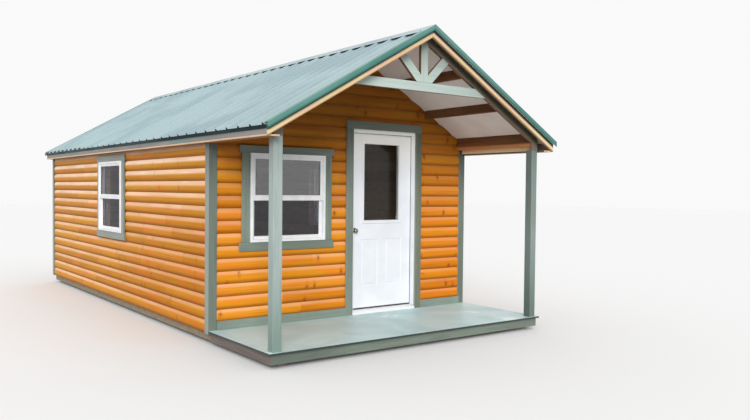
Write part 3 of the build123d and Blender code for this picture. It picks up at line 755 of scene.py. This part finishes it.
def glazing_gasket(mesh, low, high):
    """Rubber strip round the edge of a pane, on both of its faces."""
    across = high - low
    axis = min(range(3), key=lambda part: across[part])
    turn = Matrix.Rotation(pi / 2, 4, "X" if axis == 1 else "Y")
    size = (across.x, across.z) if axis == 1 else (across.z, across.y)
    for sign, corner in ((-1, low), (1, high)):
        middle = (low + high) / 2
        middle[axis] = corner[axis]
        place = Matrix.Translation(middle) @ turn @ Matrix.Diagonal((*size, 1, 1))
        sheet = bmesh.ops.create_grid(mesh, x_segments=1, y_segments=1, size=0.5, matrix=place)["verts"]
        pane = sheet[0].link_faces[0]
        rim = bmesh.ops.inset_individual(mesh, faces=[pane], thickness=gasket_width,
                                         use_even_offset=True)["faces"]
        bmesh.ops.delete(mesh, geom=[pane], context="FACES")
        grown = bmesh.ops.extrude_face_region(mesh, geom=rim)["geom"]
        step = Vector((0, 0, 0))
        step[axis] = sign * gasket_depth
        bmesh.ops.translate(mesh, vec=step, verts=only(bmesh.types.BMVert, grown))


# The panes' tints, bluish above, purple below and darker grey at the sides, are painted reflections.
panes = window_panes("front_upper_pane", clear_pane("pane_clear_upper", (0.86, 0.89, 0.95), 1.85),
                     lambda low, high: abs(low.x) < side_wall and low.z > upper_sash)
panes += window_panes("front_lower_pane", clear_pane("pane_clear_lower", (0.80, 0.78, 0.92), 1.42),
                      lambda low, high: abs(low.x) < side_wall and low.z < upper_sash)
panes += window_panes("side_panes", clear_pane("pane_clear_side", (0.60, 0.60, 0.68), 1.1),
                      lambda low, high: abs(low.x) > side_wall)
rubber, tree = new_finish("gasket_rubber", (0.035, 0.035, 0.038), 0.6)
finished(rubber, clouded(tree, 14.0, 3.0, 0.45, 0.7, (0.025, 0.025, 0.027), (0.09, 0.085, 0.08)))
gaskets = bmesh.new()
for low, high in panes:
    glazing_gasket(gaskets, low, high)
bmesh.ops.recalc_face_normals(gaskets, faces=gaskets.faces)
add_piece("glazing_gaskets", gaskets, rubber)

# Door frame
# White-painted jambs and stops over an aluminium threshold.
# The frame came with the door as one unit and was nailed into the opening.
door_white = (0.81, 0.825, 0.86)
frame_ease = 0.001


def white_enamel(name, roughness):
    """Baked or brushed white paint, a little cloudy, with painted light making it paler above 1.7 m."""
    finish, tree = new_finish(name, door_white, roughness)
    place = object_place(tree)
    color = clouded(tree, 3.0, 4.0, 0.35, 0.65, tuple(0.93 * part for part in door_white), door_white)
    # Painted light: paler above 1.7 m.
    upper = fade(split(place)[2], 1.7, 2.2)
    return finished(finish, mix(upper, color, (0.97, 0.955, 0.92)), noise(place, 260.0, 2.0), 0.0002)


def brushed_metal(name, color, roughness, metallic, along, length, width, dull, tones=None):
    """Metal with fine marks along one axis, that are duller and may have a tone of their own."""
    finish, tree = new_finish(name, color, roughness, Metallic=metallic)
    marks = streaks(along_board(tree, along), length, width)
    worn = mix(fade(marks, 0.4, 0.65), *tones) if tones else None
    return finished(finish, worn, roughness=fade(marks, 0.3, 0.7, *dull))


frame_paint = white_enamel("door_frame_paint", 0.42)
eased("door_frame", frame_paint, frame_ease)
eased("door_stops", frame_paint, frame_ease)
dress(brushed_metal("threshold_aluminium", (0.92, 0.925, 0.93), 0.4, 0.3, "X", 0.2, 0.0015, (0.3, 0.5)),
      "door_threshold")

# Door leaf
# Two pressed steel skins over foam, enamelled white, with a light screwed into its upper half.
# It swings inwards on three steel hinges at its right edge.
dress(white_enamel("door_enamel", 0.35), "door_leaf", "door_lite_frame")
# Its brownish grey tint is a painted reflection.
dress(clear_pane("door_pane_clear", (0.72, 0.70, 0.68), 1.3), "door_glass")
dress(brushed_metal("hinge_steel_satin", (0.60, 0.58, 0.54), 0.35, 1.0, "Z", 0.02, 0.001, (0.28, 0.45)),
      "jamb_hinges", "door_hinges")

# Door knob and latch
# A turned knob on both sides, antique nickel, clamped through the leaf by two hidden screws.
# The latch has a plate let into the edge of the leaf, and a strike plate on the jamb.
leaf_low, leaf_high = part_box("door_leaf")
leaf_middle = (leaf_low.y + leaf_high.y) / 2
knob_middle = sum(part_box("door_knob"), Vector()) / 2
jamb_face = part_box("door_stops")[0].x
knob_steps = 40
knob_profile = ((0.0, 0.032), (0.004, 0.032), (0.007, 0.0295), (0.0085, 0.024), (0.0095, 0.0125),
                (0.021, 0.0105), (0.0255, 0.013), (0.030, 0.0205), (0.036, 0.0252), (0.043, 0.026),
                (0.049, 0.0228), (0.053, 0.0165), (0.0545, 0.0095), (0.0535, 0.008), (0.0535, 0.0))
key_slot_half = (0.0009, 0.0004, 0.004)
latch_half = (0.0006, 0.0125, 0.0285)
latch_screw = 0.021  # metres above and below the latch
latch_screw_rise = 0.0008
strike_half = (0.0006, 0.014, 0.035)
strike_hole_half = (0.00015, 0.009, 0.014)
strike_hole_rise = 0.00065
plate_ease = 0.0002

nickel = brushed_metal("knob_nickel_antique", (0.30, 0.28, 0.24), 0.3, 1.0, "Y", 0.012, 0.012,
                       (0.16, 0.36), ((0.17, 0.155, 0.125), (0.42, 0.40, 0.35)))
knob = bmesh.new()
for face, sign in ((leaf_low.y, -1), (leaf_high.y, 1)):
    verts = [knob.verts.new((knob_middle.x + radius, face + sign * reach, knob_middle.z))
             for reach, radius in knob_profile]
    edges = [knob.edges.new(pair) for pair in zip(verts, verts[1:])]
    bmesh.ops.spin(knob, geom=verts + edges, cent=(knob_middle.x, face, knob_middle.z), axis=(0, 1, 0),
                   angle=2 * pi, steps=knob_steps, use_merge=True)
bmesh.ops.remove_doubles(knob, verts=knob.verts, dist=merge_distance)
bmesh.ops.recalc_face_normals(knob, faces=knob.faces)
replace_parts(add_piece("door_knob_turned", knob, nickel, "door", radians(40)), "door_knob")

key_slot = bmesh.new()
block_round(key_slot, (knob_middle.x, leaf_low.y - knob_profile[-1][0], knob_middle.z), key_slot_half,
            plate_ease / 2)
add_piece("door_key_slot", key_slot, rubber, "door")
latch_plate = bmesh.new()
block_round(latch_plate, (leaf_low.x, leaf_middle, knob_middle.z), latch_half, plate_ease)
for end in (-latch_screw, latch_screw):
    middle = Matrix.Translation((leaf_low.x - latch_screw_rise, leaf_middle, knob_middle.z + end))
    head(latch_plate, 12, (0.0038, 0.0034), 0.0006, middle @ Matrix.Rotation(-pi / 2, 4, "Y"))
add_piece("door_latch_plate", latch_plate, nickel, "door")
strike_plate = bmesh.new()
block_round(strike_plate, (jamb_face, leaf_middle, knob_middle.z), strike_half, plate_ease)
block_round(strike_plate, (jamb_face + strike_hole_rise, leaf_middle, knob_middle.z), strike_hole_half,
            plate_ease / 2)
add_piece("door_strike_plate", strike_plate, nickel)

# Door seals
# Dark rubber: a sweep screwed along the foot of the leaf, and a strip pressed into the stops.
# The strips end above the sweep, so that the leaf can close.
sweep_rise = 0.012
sweep_inset = 0.004
sweep_depth = 0.003
sweep_drop = 0.0042
sweep_ease = 0.0008
stop_width = 0.025
strip_half = 0.004
strip_thickness = 0.004
strip_gap = 0.003

sweep = bmesh.new()
block(sweep, (leaf_low.x + sweep_inset, leaf_low.y - sweep_depth, leaf_low.z - sweep_drop),
      (leaf_high.x - sweep_inset, leaf_low.y, leaf_low.z + sweep_rise), sweep_ease)
add_piece("door_sweep", sweep, rubber, "door")
stop_low, stop_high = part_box("door_stops")
strip_left = stop_low.x + stop_width
strip_right = stop_high.x - stop_width
strip_top = stop_high.z - stop_width
strip_front = stop_high.y
strip_back = strip_front + strip_thickness
weatherstrip = bmesh.new()
for edge in (strip_left, strip_right):
    block(weatherstrip, (edge - strip_half, strip_front, leaf_low.z + sweep_rise + strip_gap),
          (edge + strip_half, strip_back, strip_top), frame_ease)
block(weatherstrip, (strip_left + strip_half, strip_front, strip_top - strip_half),
      (strip_right - strip_half, strip_back, strip_top + strip_half), frame_ease)
add_piece("door_weatherstrip", weatherstrip, rubber)

# Roof deck
# Sheets on the rafters and purlins carry the metal. Over the porch their underside was painted
# a pinkish white, and it is the ceiling there.


def ceiling_paint():
    """Thin pale paint below, and bare sheet on the other faces."""
    finish, tree = new_finish("ceiling_paint_pale", (0.66, 0.60, 0.55), 0.6)
    painted = clouded(tree, 1.4, 3.0, 0.35, 0.65, (0.88, 0.76, 0.70), (0.96, 0.89, 0.84))
    bare, fine = lumber_color(tree, "Y", (0.50, 0.36, 0.22), (0.34, 0.22, 0.13))
    return finished(finish, mix(facing(tree, 2, -1), bare, painted), fine, 0.0005)


dress(ceiling_paint(), "roof_sheathing")

# Metal roofing
# Ribbed steel sheets three feet wide, enamelled a pale teal, run from the ridge to the eaves.
# Each overlaps the next at a rib, and a folded cap and rake trim close their edges.
roof_teal = (0.315, 0.42, 0.44)
roof_teal_low = (0.25, 0.35, 0.375)
sheet_cover = 0.914
sheet_thickness = 0.0015
lap_shadow_width = 0.007
lap_shift = 20.08  # metres, which puts the first lap on a rib
rake_leg = 0.047
rib_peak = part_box("rake_trim")[1].z


def roof_depth(tree):
    """Depth of a point below the tops of the ribs, square to the slope it is under."""
    parts = split(object_place(tree))
    across = times(combine("ABSOLUTE", parts[0]), sin(roof_pitch))
    down = times(combine("SUBTRACT", rib_peak, parts[2]), cos(roof_pitch))
    return combine("SUBTRACT", down, across)


def roof_enamel(name, color, low, laps=False, gloss=0.6):
    """Gloss enamel on steel, cloudy, with a narrow painted shadow at each side lap."""
    finish, tree = new_finish(name, color, 0.34, Specular_IOR_Level=gloss)
    place = object_place(tree)
    cloud = noise(place, 1.1, 5.0, Distortion=0.8)
    color = mix(fade(cloud, 0.36, 0.62), low, color)
    if laps:
        # Painted shadow of the rib at each side lap.
        along = combine("ADD", split(place)[1], lap_shift)
        lap = combine("FRACT", combine("DIVIDE", along, sheet_cover))
        lap_shadow = combine("LESS_THAN", lap, lap_shadow_width / sheet_cover)
        color = mix(times(lap_shadow, 0.7), color, (0.08, 0.14, 0.15))
    return finished(finish, color, cloud, 0.01, 0.25, fade(cloud, 0.3, 0.7, 0.42, 0.26))


def rake_enamel():
    """Green enamel, darker on the lower half of the folded leg where the sun doesn't reach."""
    finish, tree = new_finish("rake_enamel_green", (0.09, 0.25, 0.21), 0.36, Specular_IOR_Level=0.35)
    cloud = noise(object_place(tree), 1.1, 4.0)
    color = mix(fade(cloud, 0.36, 0.62), (0.055, 0.20, 0.165), (0.115, 0.28, 0.245))
    lower = fade(roof_depth(tree), 0.45 * rake_leg, 0.95 * rake_leg, 0.0, 0.85)
    return finished(finish, mix(lower, color, (0.018, 0.105, 0.085)), cloud, 0.01, 0.25)


dress(roof_enamel("roof_enamel_teal", roof_teal, roof_teal_low, True), "metal_roof")
dress(roof_enamel("ridge_enamel_teal", roof_teal, roof_teal_low), "ridge_cap")
dress(rake_enamel(), "rake_trim")

# Roof screws and foam closures
# Hex screws with washers and rubber rings hold the sheets beside the ribs, and the cap on them.
# Blocks of dark foam fill each rib at the eave, pushed in under the sheet to keep wasps out.
eave_reach, roof_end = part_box("metal_roof")[1].xy
rib_spacing = 0.2286
rib_height = 0.019
rib_base = 0.045
rib_crest = 0.020
rib_margin = 0.04
ribs = int((roof_end - rib_margin) / rib_spacing)
screw_rows = (0.07, 0.58, 1.09, 1.60, 1.92)  # metres up the slope from the eave
screw_beside_rib = 0.036
cap_screw_down = 0.115  # metres down the slope from the ridge
cap_rise = 0.0016
screw_parts = ((12, (0.0082, 0.0078), 0.0, 0.0012), (12, (0.0076, 0.0060), 0.0012, 0.0024),
               (6, (0.0048, 0.0045), 0.0024, 0.0066))  # sides, two radii, and two heights
closure_inset = 0.012
closure_length = 0.025
closure_gap = 0.0004


def on_slope(side, up_slope, along, depth):
    """Place on a roof slope, its Z square to the slope, at a depth below the tops of the ribs."""
    across = eave_reach - up_slope * cos(roof_pitch)
    height = rib_peak - across * tan(roof_pitch) - depth / cos(roof_pitch)
    return Matrix.Translation((side * across, along, height)) @ Matrix.Rotation(side * roof_pitch, 4, "Y")


def hex_screw(mesh, place):
    """Washer with a rubber ring under it, and a hex head."""
    for sides, radii, low, high in screw_parts:
        head(mesh, sides, radii, high - low, place @ Matrix.Translation((0, 0, (low + high) / 2)))


def foam_closure(mesh, place):
    """Foam block with sloping sides, that fills a rib."""
    base = rib_base - 2 * sheet_thickness
    height = rib_height - 2 * closure_gap
    shape = Matrix.Translation((0, 0, height / 2)) @ Matrix.Diagonal((closure_length, base, height, 1))
    verts = bmesh.ops.create_cube(mesh, size=1.0, matrix=place @ shape)["verts"]
    upper = [vert for vert in verts if (place.inverted() @ vert.co).z > height / 2]
    bmesh.ops.scale(mesh, vec=(1, (rib_crest - 2 * sheet_thickness) / base, 1), verts=upper,
                    space=Matrix.Translation(-(place @ Vector((0, 0, height / 2)))))


roof_screws = bmesh.new()
closures = bmesh.new()
for side in (-1, 1):
    for rib in range(-ribs, ribs + 1):
        along = rib * rib_spacing
        beside = along + (screw_beside_rib if rib < ribs else -screw_beside_rib)
        for up_slope in screw_rows:
            hex_screw(roof_screws, on_slope(side, up_slope, beside, rib_height))
        if rib % 2 == 0:
            up_slope = eave_reach / cos(roof_pitch) - cap_screw_down
            hex_screw(roof_screws, on_slope(side, up_slope, along, -cap_rise))
        foam_closure(closures, on_slope(side, closure_inset + closure_length / 2, along,
                                        rib_height + sheet_thickness))
screw_finish, tree = new_finish("screw_enamel_teal", roof_teal, 0.35)
finished(screw_finish, clouded(tree, 7.0, 2.0, 0.4, 0.6, (0.16, 0.22, 0.235), roof_teal))
add_piece("roof_screws", roof_screws, screw_finish)
foam, tree = new_finish("closure_foam", (0.03, 0.032, 0.034), 0.9)
cells = noise(object_place(tree), 420.0, 1.0)
finished(foam, mix(cells, (0.015, 0.016, 0.018), (0.055, 0.058, 0.06)), cells, 0.0008)
add_piece("rib_closures", closures, foam)

# Rake boards, fascia and soffits
# Boards close the roof's edges under the metal. The rake boards are bare pine, the fascia has
# a thin grey coat, and the soffit is stained below with its sawn edge left bare.
rake_inset = 0.02  # metres, from the eave to the lower end of a rake board
rake_drop = (eave_reach - rake_inset) * tan(roof_pitch)
rake_bottom = (rib_peak - rake_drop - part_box("rake_boards")[0].z) * cos(roof_pitch)


def rake_pine():
    """Fresh pine, cream with pink and yellow bands, with painted shadow under the metal and along the low
    edge.
    """
    finish, tree = new_finish("rake_pine_bare", (0.78, 0.66, 0.42), 0.65)
    place = object_place(tree)
    parts = split(place)
    depth = roof_depth(tree)
    outward = times(combine("ABSOLUTE", parts[0]), cos(roof_pitch))
    down_slope = combine("MULTIPLY_ADD", parts[2], -sin(roof_pitch), outward)
    color, fine = lumber_color(tree, vector_of(down_slope, depth, parts[1]), (0.86, 0.72, 0.44),
                               (0.72, 0.50, 0.24))
    band = fade(noise(place, 2.3, 1.0), 0.45, 0.62, 0.0, 0.6)
    color = mix(band, color, (0.80, 0.50, 0.34))
    # Painted shadow, with some dirt, just under the leg of the rake trim.
    shadow_and_dirt_under_metal = fade(depth, rake_leg + 0.011, rake_leg + 0.024, 1.0, 0.0)
    color = mix(shadow_and_dirt_under_metal, color, (0.03, 0.05, 0.045))
    # Painted shadow along the board's low edge.
    low_edge = fade(depth, rake_bottom - 0.016, rake_bottom - 0.004, 0.0, 0.75)
    return finished(finish, mix(low_edge, color, (0.36, 0.19, 0.07)), fine, 0.0005)


def fascia_coat():
    """Thin grey coat with teal patches over pine."""
    finish, tree = new_finish("fascia_coat_thin", (0.22, 0.22, 0.22), 0.55)
    color, fine = lumber_color(tree, "Y", (0.30, 0.285, 0.27), (0.15, 0.15, 0.155))
    patch = fade(noise(object_place(tree), 0.9, 3.0), 0.5, 0.62, 0.0, 0.75)
    return finished(finish, mix(patch, color, (0.13, 0.22, 0.21)), fine)


def soffit_finish():
    """Brown stain below, bare pine on the outer edge, and painted shade on the inner edge."""
    finish, tree = new_finish("soffit_stain_and_pine", (0.3, 0.15, 0.06), 0.6)
    stained, fine = lumber_color(tree, "Y", (0.36, 0.17, 0.06), (0.20, 0.085, 0.03))
    bare = lumber_color(tree, "Y", (0.80, 0.60, 0.40), (0.62, 0.36, 0.20))[0]
    color = mix(facing(tree, 2, -1), bare, stained)
    coordinates = add_node("TexCoord", {}, tree).outputs
    outward = add_node("VectorMath", {0: coordinates["Normal"], 1: coordinates["Object"]},
                       operation="MULTIPLY").outputs[0]
    # Painted shade on the faces that look in towards the wall.
    shaded_inner_edge = combine("LESS_THAN", split(outward)[0], -0.8)
    return finished(finish, mix(shaded_inner_edge, color, (0.10, 0.075, 0.035)), fine)


eased("rake_boards", rake_pine())
eased("eave_fascia", fascia_coat())
dress(soffit_finish(), "eave_soffits")

# Drip edge, soffit nailers and corner tops
# A strip of folded steel hangs over each fascia, nailed under the sheets; painted shade makes its dark teal
# near-black.
# Pine nailers hold the soffits beside the porch beams, and short blocks close the corner boards.
drip_top = 0.0035
drip_drop = 0.031
drip_kick = 0.005
drip_hem = (0.001, 0.004)
drip_thickness = 0.0008
nailer_lap = 0.3  # metres past the face of the front wall
nailer_size = (0.038, 0.089)
nailer_rise = 0.015
fit_gap = 0.0005
corner_reveal = 0.006

fascia_low, fascia_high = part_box("eave_fascia")
drip_edge = bmesh.new()
for side in (-1, 1):
    face = fascia_high.x + sheet_thickness
    foot = fascia_high.z - drip_drop
    fold = ((face, fascia_high.z - drip_top), (face, foot), (face + drip_kick, foot - drip_kick),
            (face + drip_kick + drip_hem[0], foot - drip_kick + drip_hem[1]))
    verts = [drip_edge.verts.new((side * across, fascia_low.y, height)) for across, height in fold]
    edges = [drip_edge.edges.new(pair) for pair in zip(verts, verts[1:])]
    grown = bmesh.ops.extrude_edge_only(drip_edge, edges=edges)["geom"]
    bmesh.ops.translate(drip_edge, vec=(0, fascia_high.y - fascia_low.y, 0),
                        verts=only(bmesh.types.BMVert, grown))
    sheet = only(bmesh.types.BMFace, grown)
    bmesh.ops.recalc_face_normals(drip_edge, faces=sheet)
    bmesh.ops.solidify(drip_edge, geom=sheet, thickness=drip_thickness)
bmesh.ops.recalc_face_normals(drip_edge, faces=drip_edge.faces)
# Dark teal steel, with painted shade making it near-black under the eave.
drip_enamel = roof_enamel("drip_enamel_dark", (0.010, 0.034, 0.037), (0.006, 0.018, 0.021), gloss=0.04)
add_piece("eave_drip_edge", drip_edge, drip_enamel)

beam_low, beam_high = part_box("porch_beams")
nailer_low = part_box("eave_soffits")[0].z + nailer_rise
corner_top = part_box("corner_boards")[1].z
soffit_nailers = bmesh.new()
corner_tops = bmesh.new()
for side in (-1, 1):
    inner, outer = sorted((side * beam_high.x, side * (beam_high.x + nailer_size[0])))
    block(soffit_nailers, (inner, beam_low.y + 2 * fit_gap, nailer_low),
          (outer, front_box[1].y + nailer_lap, nailer_low + nailer_size[1]), board_ease)
    inner, outer = sorted((side * (front_box[1].x + fit_gap), side * (beam_high.x - fit_gap)))
    block(corner_tops, (inner, front_box[0].y - corner_reveal, corner_top),
          (outer, front_box[1].y - 2 * fit_gap, beam_low.z), board_ease)
# Paler than the other bare pine: painted light on nailers that stand in shade.
nailer_pine_lightened = bare_lumber("nailer_pine_lightened", "Y", (0.98, 0.84, 0.58), (0.90, 0.68, 0.40))
add_piece("soffit_nailers", soffit_nailers, nailer_pine_lightened)
add_piece("corner_board_tops", corner_tops, shaded_corner_trim)

# Porch posts
# Two four-by-four posts with eased corners stand on the deck and carry the roof.
# They are painted with the trim's sage, and weather has bleached them.
post_green = (0.38, 0.455, 0.435)
post_green_low = (0.31, 0.375, 0.355)


def post_finish():
    """Bleached sage, with painted shade on the right post, its left face and both tops, and darker where rain
    splashes the feet.
    """
    finish, tree = new_finish("sage_post_paint", post_green, 0.5)
    painted, brush = painted_color(tree, "Z", post_green, post_green_low)
    parts = split(object_place(tree))
    right_post = combine("GREATER_THAN", parts[0], 0.0)
    # Painted shade on the right post.
    painted = tint(painted, (0.62, 0.64, 0.62), right_post)
    painted = tint(painted, (0.50, 0.60, 0.55), fade(parts[2], deck_top, deck_top + 0.9, 1.0, 0.0))
    # Painted shade at the tops, under the roof.
    painted = tint(painted, fade(parts[2], 1.5, 2.0, 1.0, 0.82))
    # Painted shade on the right post's face to the left.
    painted = tint(painted, (0.68, 0.72, 0.70), times(facing(tree, 0, -1), right_post))
    return finished(finish, painted, combine("ADD", brush, streaks(along_board(tree, "Z"), 0.5, 0.006)))


dress(post_finish(), "porch_posts")

# Porch beams and purlins
# Two-by-four lumber stained dark brown, from the front wall out to the truss.
# The beams rest on the posts, and the purlins are nailed under the roof sheets between them.
brown_light = (0.20, 0.085, 0.032)
brown_dark = (0.10, 0.038, 0.014)


def beam_stain(low_edge):
    """Dark brown stain, with painted light making it more orange along the bottom of the lumber."""
    finish, tree = new_finish("brown_stain_beams", brown_light, 0.5, Specular_IOR_Level=0.3)
    color, fine = lumber_color(tree, "Y", brown_light, brown_dark)
    # Painted light: the bottom of the beam more orange, its upper part left in shade.
    lit_lower_band = fade(split(object_place(tree))[2], low_edge + 0.022, low_edge + 0.05, 0.9, 0.0)
    return finished(finish, mix(lit_lower_band, color, (0.50, 0.20, 0.068)), fine)


eased("porch_beams", beam_stain(beam_low.z))
eased("porch_purlins", bare_lumber("brown_stain", "Y", brown_light, brown_dark, 0.5))

# Front truss
# Chords, a tie beam, a king post and two braces of two-by-four lumber, plated behind.
# Their faces to the front are painted, and their edges and backs are stained brown.
chord_depth = 0.1215  # metres below the tops of the ribs
heel_inside = 1.59


def truss_finish(name, along):
    """Pale sage on the faces to the front, brown stain on the rest, and dark stain with painted shade on the
    chords.
    """
    finish, tree = new_finish(name, (0.5, 0.6, 0.55), 0.5)
    painted = painted_color(tree, along, (0.50, 0.60, 0.55), (0.42, 0.51, 0.465))[0]
    parts = split(object_place(tree))
    # Painted shade, darker towards the apex.
    painted = tint(painted, fade(parts[2], 2.62, 2.95, 1.0, 0.66))
    stained, fine = lumber_color(tree, along, (0.26, 0.13, 0.065), (0.13, 0.06, 0.03))
    depth = roof_depth(tree)
    heel = combine("GREATER_THAN", combine("ABSOLUTE", parts[0]), heel_inside)
    chord = combine("MAXIMUM", combine("LESS_THAN", depth, chord_depth), heel)
    # The chords are stained olive brown, with painted shade deepening towards the roof.
    chord_stain_and_shade = mix(fade(depth, 0.06, chord_depth), (0.05, 0.042, 0.028), (0.16, 0.14, 0.105))
    painted = mix(chord, painted, chord_stain_and_shade)
    return finished(finish, mix(facing(tree, 1, -1), stained, painted), fine)


grain_along(eased("front_truss", truss_finish("truss_paint_and_stain", "X")),
            truss_finish("king_post_paint_and_stain", "Z"), 2)

# Studio
# A pale floor under a soft sky that is brighter overhead, with one broad lamp from the left.
# The camera stands where the picture was taken.
studio_half = 60.0
floor_pale = (0.84, 0.84, 0.84)
lamp_from = Vector((-0.52, -0.78, 0.35))
camera_place = Vector((-4.786, -9.182, 1.559))
camera_yaw = radians(36.9336)  # from +Y towards +X
camera_pitch = radians(-1.5591)
camera_roll = radians(0.5798)
focal_length = 738.81  # pixels, for a picture as wide as picture_width
picture_width = 750


def seen(tree):
    """1 where the camera sees a surface, also in or through glass, and 0 where it only sends light."""
    rays = add_node("LightPath", {}, tree).outputs
    bent = combine("MAXIMUM", rays["Is Glossy Ray"], rays["Is Transmission Ray"])
    return combine("MAXIMUM", rays["Is Camera Ray"], bent)


floor_mesh = bmesh.new()
bmesh.ops.create_grid(floor_mesh, x_segments=1, y_segments=1, size=studio_half)
floor_data = bpy.data.meshes.new("studio_floor")
floor_mesh.to_mesh(floor_data)
floor_mesh.free()
floor_paint, tree = new_finish("studio_floor_pale", floor_pale, 0.9)
finished(floor_paint, mix(seen(tree), (0.38, 0.38, 0.38), floor_pale))
floor_data.materials.append(floor_paint)
add_object("studio_floor", floor_data)

world = bpy.data.worlds.new("studio_sky")
world.use_nodes = True
bpy.context.scene.world = world
tree = world.node_tree
height = split(add_node("TexCoord", {}, tree).outputs["Generated"])[2]
dome = add_node("MapRange", {"Value": height, "To Min": 0.36, "To Max": 1.05}).outputs[0]
light = mix(seen(tree), dome, (0.95, 0.95, 0.95))
tree.links.new(light, tree.nodes["Background"].inputs["Color"])

lamp_data = bpy.data.lights.new("studio_lamp", "SUN")
lamp_data.energy = 2.5
lamp_data.angle = radians(28)
lamp = add_object("studio_lamp", lamp_data)
lamp.rotation_euler = lamp_from.to_track_quat("Z", "Y").to_euler()

camera_data = bpy.data.cameras.new("camera")
camera_data.sensor_width = 36
camera_data.lens = focal_length / picture_width * camera_data.sensor_width
camera = add_object("camera", camera_data)
aim = Matrix.Rotation(-camera_yaw, 4, "Z") @ Matrix.Rotation(pi / 2 + camera_pitch, 4, "X")
camera.matrix_world = Matrix.Translation(camera_place) @ aim @ Matrix.Rotation(camera_roll, 4, "Z")
bpy.context.scene.camera = camera
bpy.context.scene.view_settings.view_transform = "Standard"
